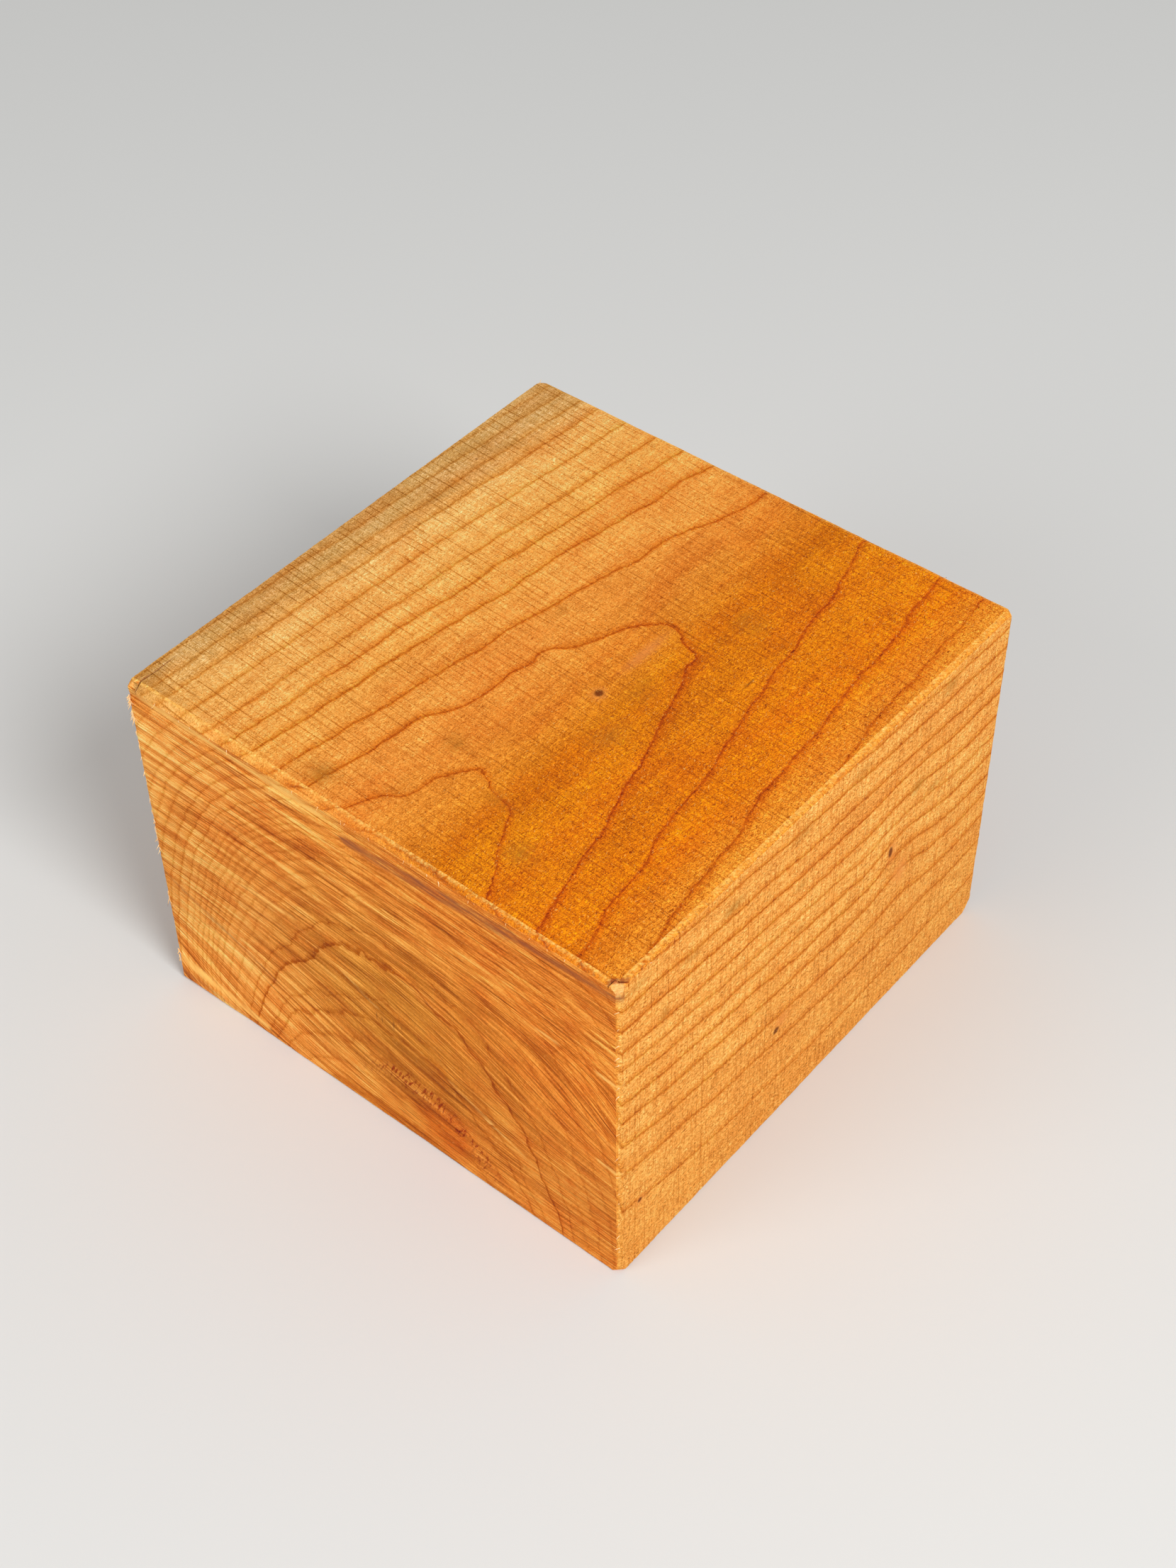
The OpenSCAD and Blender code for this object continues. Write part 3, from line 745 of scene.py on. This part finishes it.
def rough_sawn_cherry(wood, saw):
    """Cherry fresh from the bandsaw, never planed: torn and dull, with crisp dark year lines."""
    material, tree, point = new_material("rough_sawn_cherry")
    normal = add(tree, "NewGeometry").outputs["Normal"]
    facing = add(tree, "VectorMath", normal, operation="ABSOLUTE")
    across, along, up = add(tree, "SeparateXYZ", facing).outputs
    end_grain = add(tree, "MapRange", along, *ON_FACE, **SMOOTH)
    side = add(tree, "MapRange", across, *ON_FACE, **SMOOTH)
    squarest = add(tree, "Math", across, along, up, operation="MAXIMUM")
    cut_edge = add(tree, "MapRange", squarest, *BETWEEN_FACES, **SMOOTH)
    line, halo, tone, radius, bearing = year_lines(tree, point, normal)
    long_light, long_relief = long_grain_marks(tree, point, side, saw.pitch / MM)
    end_light, end_relief, torn_streaks = end_grain_marks(tree, point)
    mottle = grains(tree, point, *MOTTLE)
    colour = fresh_wood(tree, point, wood, side, end_grain, mottle, radius)

    # painted light and shade of the fibres and the saw's marks, with the wood's own clouds, rays and year
    # tones
    end_light = add(tree, "Math", end_light, heart_rays(tree, bearing, radius), **TIMES)
    light = add(tree, "Mix", end_grain, long_light, end_light)
    light = add(tree, "Math", light, *drifts(tree, point, side, end_grain, tone), **TIMES)
    colour = dimmed_or_lit(tree, colour, light)
    flushed = add(tree, "MapRange", grains(tree, point, *FLUSHES), *FLUSH_SHOWN, **SMOOTH)
    flushed = add(tree, "Math", flushed, add(tree, "Mix", side, 1.0, FLUSH_ON_SIDE), **TIMES)
    colour = add(tree, "Mix", flushed, colour, rgba(wood.flush), **WASH)

    # year lines, whose soft bands are faint on the ends, where the torn fibres hide them
    halo = add(tree, "Math", halo, add(tree, "MapRange", end_grain, 0.0, 1.0, 1.0, BAND_ON_END), **TIMES)
    colour = add(tree, "Mix", halo, colour, rgba(wood.year_band), **WASH)
    line_on_end = add(tree, "MapRange", radius, *LINES_ON_END, **SMOOTH)
    line = add(tree, "Math", line, add(tree, "Mix", end_grain, 1.0, line_on_end), **TIMES)
    colour = add(tree, "Mix", line, colour, rgba(wood.year_line), **WASH)
    flecks = add(tree, "Math", pith_flecks(tree, point), end_grain, **TIMES)
    colour = add(tree, "Mix", flecks, colour, rgba(wood.fleck), **WASH)

    colour = flawed(tree, point, colour, wood, mottle)
    colour = torn_scorched_and_lit(tree, point, colour, wood, end_grain, torn_streaks)
    colour = worn_at_edges(tree, point, colour, wood, cut_edge)
    finish_material(tree, colour, add(tree, "Mix", end_grain, long_relief, end_relief), DULL)
    return material


def torn_cherry_fibre(wood):
    """Loose splinters of cherry that the blade lifted but didn't cut: dry, pale and matt."""
    material, tree, point = new_material("torn_cherry_fibre")
    mottle = grains(tree, point, *DRY_MOTTLE)
    pale = add(tree, "MapRange", mottle, *DRY_SHOWN)
    colour = add(tree, "Mix", pale, rgba(wood.worn_edge), rgba(wood.splinter), **OVER)
    finish_material(tree, colour, add(tree, "Math", mottle, DRY_RELIEF, **TIMES), DRY)
    return material


# ------------------------------------------------------------------------------ the block

ACROSS_X, ALONG_Y, UP_Z = range(3)
# Rows of faces: which way the face looks, the axis the cuts step along, and their spacing.
ROWS = (
    (ACROSS_X, UP_Z, 1.5), (ACROSS_X, ALONG_Y, 0.8),
    (UP_Z, ACROSS_X, 2.5), (UP_Z, ALONG_Y, 0.8),
    (ALONG_Y, ACROSS_X, 2.0), (ALONG_Y, UP_Z, 0.8),
)
# The attribute also holds the painted highlights of the front end.
TORN_AND_LIT = "torn"  # the attribute that says how torn or scorched the wood is
# The step that the blade left low on the front end when the cut was restarted: across and up.
STEP_LINE = (
    (-75.0, 62.0), (-25.0, 56.0), (0.0, 43.5), (21.0, 34.0), (33.0, 28.3), (52.0, 18.0), (75.0, 12.0),
)
EDGE_REACH = 1.5

# The saw's marks in millimetres, with the noises that vary them: grain size and seed.
FACE_DEPTH, FACE_NOISE = 0.03, ((6.0, 6.0, 6.0), 3.1)
WASHBOARD_DEPTH, WASHBOARD_WANDER, WASHBOARD_NOISE = 0.05, 2.0, ((30.0, 12.0, 30.0), 1.7)
PAUSE_DEPTH, PAUSE_WIDTH, PAUSE_NOISE = 0.12, 0.4, ((9.0, 9.0, 9.0), 5.3)
PAUSE_SHARE, PAUSE_SPREAD = 0.7, 0.6
DRAG_DEPTH, DRAG_SHARE, BUNDLE_SHARE = 0.10, 0.8, 0.6
HAIR_NOISE, BUNDLE_NOISE = ((22.0, 60.0, 1.6), 7.9), ((40.0, 60.0, 6.0), 2.3)
STEP_DEPTH, STEP_MIDDLE, STEP_HALF_RUN, STEP_FADE = 0.32, 12.0, 42.0, 11.0
EDGE_WEAR, EDGE_WIDTH = 0.06, 1.3
EDGE_CRUMBS, EDGE_WAVES = ((1.1, 1.1, 1.1), 9.7), ((3.5, 3.5, 3.5), 4.1)
# The torn wood and the painted highlights reach this far behind the very front.
TEAR_AND_HIGHLIGHT_REACH = 2.5  # how far behind the very front the torn wood reaches
WELD_GAP = 0.002
FLAT_ANGLE, SMOOTH_ANGLE = math.radians(0.5), math.radians(20.0)
SQUARE_ON = 0.7  # a face looks along an axis when its normal has more than this of it


def band(value, centre, half_width):
    """A soft bump: one at the centre, fading over the half width."""
    return math.exp(-((value - centre) / half_width) ** 2)


def ripple(point, size, seed):
    """Smooth noise from minus one to one, with grains of the given size."""
    return noise.noise(Vector([p / s for p, s in zip(point, size)]) + Vector((seed, -seed, 2.0 * seed)))


def step_height(x):
    """Height of the blade's step on the front end, at a place across it."""
    for (x0, z0), (x1, z1) in zip(STEP_LINE, STEP_LINE[1:]):
        if x <= x1:
            return z0 + (z1 - z0) * (x - x0) / (x1 - x0)
    return STEP_LINE[-1][1]


def along_grain_cut(point, pitch):
    """Depth of the washboard that the teeth left across the long faces."""
    x, y, z = point
    phase = (y + SAW_TILT * x) / pitch
    wander = WASHBOARD_WANDER * ripple(point, *WASHBOARD_NOISE)
    return WASHBOARD_DEPTH * (0.5 + 0.5 * math.sin(2 * math.pi * phase + wander))


def pause_cut(point):
    """Depth of the grooves where the blade paused on the side faces."""
    groove = sum(band(point[1], at, PAUSE_WIDTH) for at in SAW_PAUSES)
    return PAUSE_DEPTH * groove * (PAUSE_SHARE + PAUSE_SPREAD * ripple(point, *PAUSE_NOISE))


def end_cut(point):
    """Depth of the fanned drag lines on the ends, and of the step on the front end."""
    x, y, z = point
    dragged = (x, y, dragged_height(x, z))
    hairs, bundles = ripple(dragged, *HAIR_NOISE), ripple(dragged, *BUNDLE_NOISE)
    depth = DRAG_DEPTH * (DRAG_SHARE + hairs + BUNDLE_SHARE * bundles)
    above = z - step_height(x)
    if y < 0.0 < above:
        reach = band(x, STEP_MIDDLE, STEP_HALF_RUN)
        depth += STEP_DEPTH * reach * min(above, 1.0) * math.exp(-above / STEP_FADE)
    return depth


def mark_depth(point, pitch):
    """How deep the saw cut below the flat face at a point of the surface."""
    x, y, z = point
    to_side = min(x - LEFT, RIGHT - x)
    to_end = min(y - FRONT, BACK - y)
    to_level = min(z, TOP - z)
    on_side, on_end, on_level = (band(gap, 0.0, EDGE_REACH) for gap in (to_side, to_end, to_level))
    depth = FACE_DEPTH + FACE_DEPTH * ripple(point, *FACE_NOISE)
    depth += max(on_side, on_level) * (1.0 - on_end) * along_grain_cut(point, pitch)
    depth += on_side * pause_cut(point) + on_end * end_cut(point)
    to_edge = sorted((to_side, to_end, to_level))[1]
    ragged = 1.0 + ripple(point, *EDGE_CRUMBS) + ripple(point, *EDGE_WAVES)
    return depth + EDGE_WEAR * band(to_edge, 0.0, EDGE_WIDTH) * ragged


def tear_and_highlight_at(point):
    """How bright the front end is at a point, from torn wood and painted highlights, or below zero how
    scorched.
    """
    x, y, z = point
    if y > FRONT + TEAR_AND_HIGHLIGHT_REACH:
        return 0.0
    value = 0.0
    for start, end, half_width, strength in TEARS_AND_HIGHLIGHTS:
        run, rise = end[0] - start[0], end[1] - start[1]
        share = ((x - start[0]) * run + (z - start[1]) * rise) / (run * run + rise * rise)
        share = min(max(share, 0.0), 1.0)
        gap = math.hypot(x - start[0] - share * run, z - start[1] - share * rise)
        value += strength * band(gap, 0.0, half_width)
    return value


def shaped_block(saw):
    """The CAD solid's copy, cut into fine rows and carved by the saw's marks."""
    block = bpy.data.objects.new("wood_block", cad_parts[NODE].data.copy())
    bpy.context.scene.collection.objects.link(block)
    block.data.materials.clear()
    make_active(block)
    bpy.ops.object.mode_set(mode="EDIT")
    bpy.ops.mesh.select_mode(type="FACE")
    bpy.ops.mesh.select_all(action="SELECT")
    bpy.ops.mesh.remove_doubles(threshold=WELD_GAP * MM)
    bpy.ops.mesh.dissolve_limited(angle_limit=FLAT_ANGLE)
    bpy.ops.object.mode_set(mode="OBJECT")
    for facing, axis, spacing in ROWS:
        cut_rows(block, facing, axis, spacing)
    marks = block.vertex_groups.new(name="saw_marks")
    tears_and_highlights = []
    for vertex in block.data.vertices:
        point = vertex.co / MM
        depth = mark_depth(point, saw.pitch / MM) * MM
        marks.add((vertex.index,), min(max(depth / saw.depth, 0.0), 1.0), "REPLACE")
        tears_and_highlights.append(tear_and_highlight_at(point))
    carve = block.modifiers.new("saw_marks", "DISPLACE")
    carve.vertex_group = marks.name
    carve.mid_level = 0.0
    carve.strength = -saw.depth
    bpy.ops.object.modifier_apply(modifier=carve.name)
    block.vertex_groups.clear()
    # the torn wood and the painted highlights, and the scorched lines below zero
    torn = block.data.attributes.new(TORN_AND_LIT, "FLOAT", "POINT")
    torn.data.foreach_set("value", tears_and_highlights)
    bpy.ops.object.shade_smooth_by_angle(angle=SMOOTH_ANGLE)
    return block


def cut_rows(block, facing, axis, spacing):
    """Cuts the faces that look along one axis into even rows across another."""
    low, high = LOW[axis], HIGH[axis]
    rows = round((high - low) / (spacing * MM))
    for face in block.data.polygons:
        face.select = abs(face.normal[facing]) > SQUARE_ON
    bpy.ops.object.mode_set(mode="EDIT")
    bpy.ops.mesh.hide(unselected=True)
    across = Vector([float(axis == number) for number in range(3)])
    for row in range(1, rows):
        bpy.ops.mesh.select_all(action="SELECT")
        bpy.ops.mesh.bisect(plane_co=across * (low + (high - low) * row / rows), plane_no=across)
    bpy.ops.mesh.reveal(select=False)
    bpy.ops.object.mode_set(mode="OBJECT")


# ------------------------------------------------------------------------------ raised fibres

# Tufts of splinters: the two ends of the edge that they grow from, the way they lean, how many
# there are, and their length.
TUFTS = (
    ((-74.6, -75.7, 103.5), (-74.6, -75.7, 100.5), (0.05, -0.5, -0.5), 16, 1.9),
    ((-74.6, -75.7, 98.5), (-74.6, -75.7, 95.0), (0.25, -0.4, -0.8), 14, 1.8),
    ((-74.6, -75.7, 92.0), (-74.6, -75.7, 60.0), (0.3, -0.25, -0.8), 12, 1.4),
    ((-74.6, -75.7, 61.0), (-74.6, -75.7, 48.0), (0.15, -0.35, -0.7), 9, 2.2),
    ((-74.6, -75.7, 34.0), (-74.6, -75.7, 30.0), (0.2, -0.1, -1.0), 4, 5.0),
    ((-74.6, -76.2, 12.0), (-74.6, -76.2, 7.0), (0.3, -0.2, -0.7), 8, 1.5),
    ((-74.0, 74.2, 106.9), (-72.8, 75.6, 106.9), (-0.25, 1.0, 0.1), 5, 3.4),
    ((-74.7, 62.0, 107.0), (-74.7, 70.0, 107.0), (-0.3, 0.8, -0.1), 6, 1.4),
    ((-40.0, 76.2, 107.1), (60.0, 76.2, 107.1), (0.6, 0.4, -0.1), 18, 1.2),
    ((-70.0, -75.4, 105.7), (60.0, -75.4, 105.9), (0.7, -0.5, -0.3), 34, 1.3),
    ((74.7, -70.0, 106.6), (74.7, 70.0, 106.6), (0.5, 0.7, -0.2), 16, 1.1),
    ((74.5, -75.2, 100.0), (74.5, -75.2, 6.0), (-0.5, -0.6, -0.5), 22, 1.2),
)
SPLINTER_SIDES, SPLINTER_CUTS = 5, 3
SPLINTER_ROOT, SPLINTER_TIP = 0.5, 0.12
# How far one splinter strays: its lean, its length and thickness against the usual, its curl.
SPLINTER_LEAN, SPLINTER_LENGTH, SPLINTER_THICKNESS = (-0.45, 0.45), (0.5, 1.2), (0.7, 1.4)
SPLINTER_CURL = (-0.5, 0.5)
BOX_CLEARANCE = 0.02  # a splinter stays this far inside the block's outer size


def splinter_shape():
    """One straight tapered splinter, a millimetre long and thick, standing on the origin."""
    deselect_all()
    bpy.ops.mesh.primitive_cone_add(vertices=SPLINTER_SIDES, radius1=SPLINTER_ROOT, radius2=SPLINTER_TIP,
                                    depth=1.0, location=(0.0, 0.0, 0.5))
    shape = bpy.context.object
    bpy.ops.object.transform_apply(location=True, rotation=True, scale=True)
    bpy.ops.object.mode_set(mode="EDIT")
    for cut in range(1, SPLINTER_CUTS + 1):
        bpy.ops.mesh.select_all(action="SELECT")
        bpy.ops.mesh.bisect(plane_co=(0.0, 0.0, cut / (SPLINTER_CUTS + 1)), plane_no=(0.0, 0.0, 1.0))
    bpy.ops.object.mode_set(mode="OBJECT")
    return shape


def place_splinter(mesh, root, lean, length, thickness, curl):
    """Bends a splinter's mesh over along its lean and sets it on its root, in millimetres."""
    ahead = Vector(lean).normalized()
    aside = ahead.orthogonal().normalized()
    third = ahead.cross(aside)
    for vertex in mesh.vertices:
        x, y, share = vertex.co
        sag = aside * curl[0] * share * share + third * curl[1] * share * share
        spot_on = Vector(root) + ahead * length * share + sag * length + (aside * x + third * y) * thickness
        inside = [
            min(max(value, low / MM + BOX_CLEARANCE), high / MM - BOX_CLEARANCE)
            for value, low, high in zip(spot_on, LOW, HIGH)
        ]
        vertex.co = Vector(inside) * MM


def raised_fibres(loose):
    """Splinters along the sawn edges, each a copy of one shape, joined into one piece."""
    chance = random.Random(loose.seed)
    shape = splinter_shape()
    splinters = []
    for start, end, lean, count, length in TUFTS:
        for number in range(count):
            splinter = bpy.data.objects.new("splinter", shape.data.copy())
            bpy.context.scene.collection.objects.link(splinter)
            root = Vector(start).lerp(Vector(end), (number + chance.random()) / count)
            turned = Vector(lean) + Vector([chance.uniform(*SPLINTER_LEAN) for axis in range(3)])
            reach = length * chance.uniform(*SPLINTER_LENGTH) * loose.length_factor
            thickness = loose.thickness / MM * chance.uniform(*SPLINTER_THICKNESS)
            curl = (chance.uniform(*SPLINTER_CURL), chance.uniform(*SPLINTER_CURL))
            place_splinter(splinter.data, root, turned, reach, thickness, curl)
            splinters.append(splinter)
    bpy.data.objects.remove(shape)
    deselect_all()
    for splinter in splinters:
        splinter.select_set(True)
    bpy.context.view_layer.objects.active = splinters[0]
    bpy.ops.object.join()
    fibres = bpy.context.object
    fibres.name = "raised_fibres"
    bpy.ops.object.shade_smooth()
    return fibres


# ------------------------------------------------------------------------------ settings


def colour_property(name, description, colour):
    """A colour setting with its sRGB hex default."""
    return bpy.props.FloatVectorProperty(
        name=name, description=description, subtype="COLOR", size=3, min=0.0, max=1.0, default=linear(colour))


class BlankWood(bpy.types.PropertyGroup):
    """Colours of the cherry."""

    sapwood: colour_property("Sapwood", "Greyish tan wood under the bark", "#d6a159")
    end_heart: colour_property("End heart", "Wash over the darker middle of the ends", "#d6d6ae")
    red_heart: colour_property("Red heart", "Wash over the redder wood round the pith", "#f8d4a4")
    year_line: colour_property("Year line", "Wash over the dark line that ends a year's growth", "#d6b436")
    year_band: colour_property("Year band", "Wash over the deeper wood beside a year line", "#f2d48c")
    flush: colour_property("Flush", "Wash over the redder drifts in the wood", "#f6d6b4")
    fleck: colour_property("Fleck", "Wash over the torn flecks round the pith", "#c07434")
    stain: colour_property("Stain", "Brown mineral stain", "#ae6c1c")
    knot: colour_property("Knot", "Heart of a pin knot", "#702c02")
    knot_wood: colour_property("Knot wood", "Pinkish wood round a pin knot", "#ea8e40")
    # Also the painted shade of small holes.
    gum_and_hole_shade: colour_property("Gum", "Dark flecks of gum", "#7a3a0c")
    # Also the colour of the painted highlights on the front end.
    torn_fibre_and_highlight: colour_property("Torn fibre", "Bright fibres that the blade tore", "#ffc468")
    # Also the colour of the painted highlight on the bevels' crest.
    worn_edge: colour_property("Worn edge", "Pale broken wood on the sawn edges", "#fbb858")
    scorch: colour_property("Scorch", "Wood that the blade rubbed and darkened", "#a0562f")
    crack_shade: colour_property("Crack", "Shade down a crack", "#98381a")
    splinter: colour_property("Splinter", "Dry loose splinters", "#fbe3b4")


class BlankSaw(bpy.types.PropertyGroup):
    """Marks that the bandsaw left."""

    pitch: bpy.props.FloatProperty(
        name="Pitch", description="Distance between two tooth marks along the grain", unit="LENGTH",
        min=0.0005, default=0.00195)
    depth: bpy.props.FloatProperty(
        name="Depth", description="Depth of the deepest mark", unit="LENGTH",
        min=0.0001, default=0.00045)


class BlankSplinters(bpy.types.PropertyGroup):
    """Splinters along the sawn edges."""

    length_factor: bpy.props.FloatProperty(
        name="Length factor", description="How long the splinters are, against the usual",
        min=0.1, default=1.0)
    thickness: bpy.props.FloatProperty(
        name="Thickness", description="Thickness of a splinter at its root", unit="LENGTH",
        min=0.00005, default=0.00024)
    seed: bpy.props.IntProperty(
        name="Seed", description="Chooses another scatter of splinters", min=0, default=7)


class TURNINGBLANK_OT_wood_block(bpy.types.Operator):
    """Build the sawn cherry block from the CAD solid"""

    bl_idname = "turning_blank.wood_block"
    bl_label = "Wood block"

    def execute(self, context):
        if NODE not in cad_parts:
            raise RuntimeError("the frame has no node named " + NODE)
        block = shaped_block(context.scene.blank_saw)
        block.data.materials.append(rough_sawn_cherry(context.scene.blank_wood, context.scene.blank_saw))
        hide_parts(NODE)
        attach(block, "root")
        return {"FINISHED"}


class TURNINGBLANK_OT_raised_fibres(bpy.types.Operator):
    """Scatter loose splinters along the sawn edges"""

    bl_idname = "turning_blank.raised_fibres"
    bl_label = "Raised fibres"

    def execute(self, context):
        fibres = raised_fibres(context.scene.blank_splinters)
        fibres.data.materials.append(torn_cherry_fibre(context.scene.blank_wood))
        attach(fibres, "root")
        return {"FINISHED"}


class TURNINGBLANK_OT_stage(bpy.types.Operator):
    """Lay the pale floor, hang the soft lights and set up the camera"""

    bl_idname = "turning_blank.stage"
    bl_label = "Studio stage"

    def execute(self, context):
        lay_floor()
        light_world(context.scene)
        for lamp in LAMPS:
            hang_lamp(*lamp)
        set_camera(context.scene)
        context.scene.view_settings.view_transform = "Standard"
        return {"FINISHED"}


# ------------------------------------------------------------------------------ the stage

# Sizes and places on the stage are in metres, and the lamps' power is in watts.
FLOOR_SIDE = 8.0
FLOOR_COLOUR = "#d8d8d6"
WORLD_LIGHT, WORLD_SEEN = 0.45, 0.9
LAMPS = (
    ("key_light", (1.3, -0.4, 1.3), 0.8, 26.0),
    ("fill_light", (-0.35, -1.3, 0.8), 0.9, 6.8),
)
LAMP_TARGET = (0.0, 0.0, 0.05)
CAMERA_PLACE = (0.28092, -0.32989, 0.50294)
CAMERA_RIGHT = (0.77262, 0.63477, -0.01089)
CAMERA_UP = (-0.44770, 0.55693, 0.69957)
CAMERA_LENS, CAMERA_SENSOR = 56.24, 36.0
CAMERA_NEAR = 0.01


def lay_floor():
    """A plain pale floor of matt paper."""
    deselect_all()
    bpy.ops.mesh.primitive_plane_add(size=FLOOR_SIDE, location=(0.0, 0.0, 0.0))
    floor = bpy.context.object
    floor.name = "floor"
    material = bpy.data.materials.new("matt_paper_floor")
    material.use_nodes = True
    shader = material.node_tree.nodes["Principled BSDF"]
    shader.inputs["Base Color"].default_value = rgba(linear(FLOOR_COLOUR))
    shader.inputs["Roughness"].default_value = 1.0
    shader.inputs["Specular IOR Level"].default_value = 0.0
    floor.data.materials.append(material)


def light_world(scene):
    """Even white light from all round, which the camera sees brighter."""
    world = bpy.data.worlds.new("studio")
    scene.world = world
    world.use_nodes = True
    tree = world.node_tree
    tree.nodes.clear()
    seen = add(tree, "LightPath").outputs["Is Camera Ray"]
    strength = add(tree, "Mix", seen, WORLD_LIGHT, WORLD_SEEN)
    add(tree, "OutputWorld", add(tree, "Background", rgba((1.0, 1.0, 1.0)), strength))


def hang_lamp(name, place, size, power):
    """A soft round lamp that shines at the block."""
    bpy.ops.object.light_add(type="AREA", location=place)
    lamp = bpy.context.object
    lamp.name = name
    lamp.data.shape = "DISK"
    lamp.data.size = size
    lamp.data.energy = power
    aim = Vector(LAMP_TARGET) - Vector(place)
    lamp.rotation_euler = aim.to_track_quat("-Z", "Y").to_euler()


def set_camera(scene):
    """The camera, above the front right corner."""
    bpy.ops.object.camera_add()
    camera = bpy.context.object
    camera.name = "camera"
    right, up = Vector(CAMERA_RIGHT), Vector(CAMERA_UP)
    turn = Matrix((right, up, right.cross(up))).transposed()
    camera.matrix_world = Matrix.Translation(CAMERA_PLACE) @ turn.to_4x4()
    camera.data.lens = CAMERA_LENS
    camera.data.sensor_width = CAMERA_SENSOR
    camera.data.clip_start = CAMERA_NEAR
    scene.camera = camera


class TURNINGBLANK_PT_panel(bpy.types.Panel):
    """Sizes, colours and steps of the turning blank"""

    bl_idname = "TURNINGBLANK_PT_panel"
    bl_label = "Turning blank"
    bl_space_type = "VIEW_3D"
    bl_region_type = "UI"
    bl_category = "Turning blank"

    def draw(self, context):
        for name, group in GROUPS.items():
            box = self.layout.box()
            for setting in group.__annotations__:
                box.prop(getattr(context.scene, name), setting)
        for operator in OPERATORS:
            self.layout.operator(operator.bl_idname)


OPERATORS = (TURNINGBLANK_OT_wood_block, TURNINGBLANK_OT_raised_fibres, TURNINGBLANK_OT_stage)
GROUPS = {"blank_wood": BlankWood, "blank_saw": BlankSaw, "blank_splinters": BlankSplinters}
CLASSES = (*GROUPS.values(), *OPERATORS, TURNINGBLANK_PT_panel)


def register():
    """Registers the classes and hangs the settings on the scene."""
    for kind in CLASSES:
        bpy.utils.register_class(kind)
    for name, group in GROUPS.items():
        setattr(bpy.types.Scene, name, bpy.props.PointerProperty(type=group))


def unregister():
    """Takes the settings and classes away again."""
    for name in GROUPS:
        delattr(bpy.types.Scene, name)
    for kind in reversed(CLASSES):
        bpy.utils.unregister_class(kind)


def main():
    register()
    bpy.ops.turning_blank.wood_block()
    bpy.ops.turning_blank.raised_fibres()
    bpy.ops.turning_blank.stage()


if __name__ == "__main__":
    main()
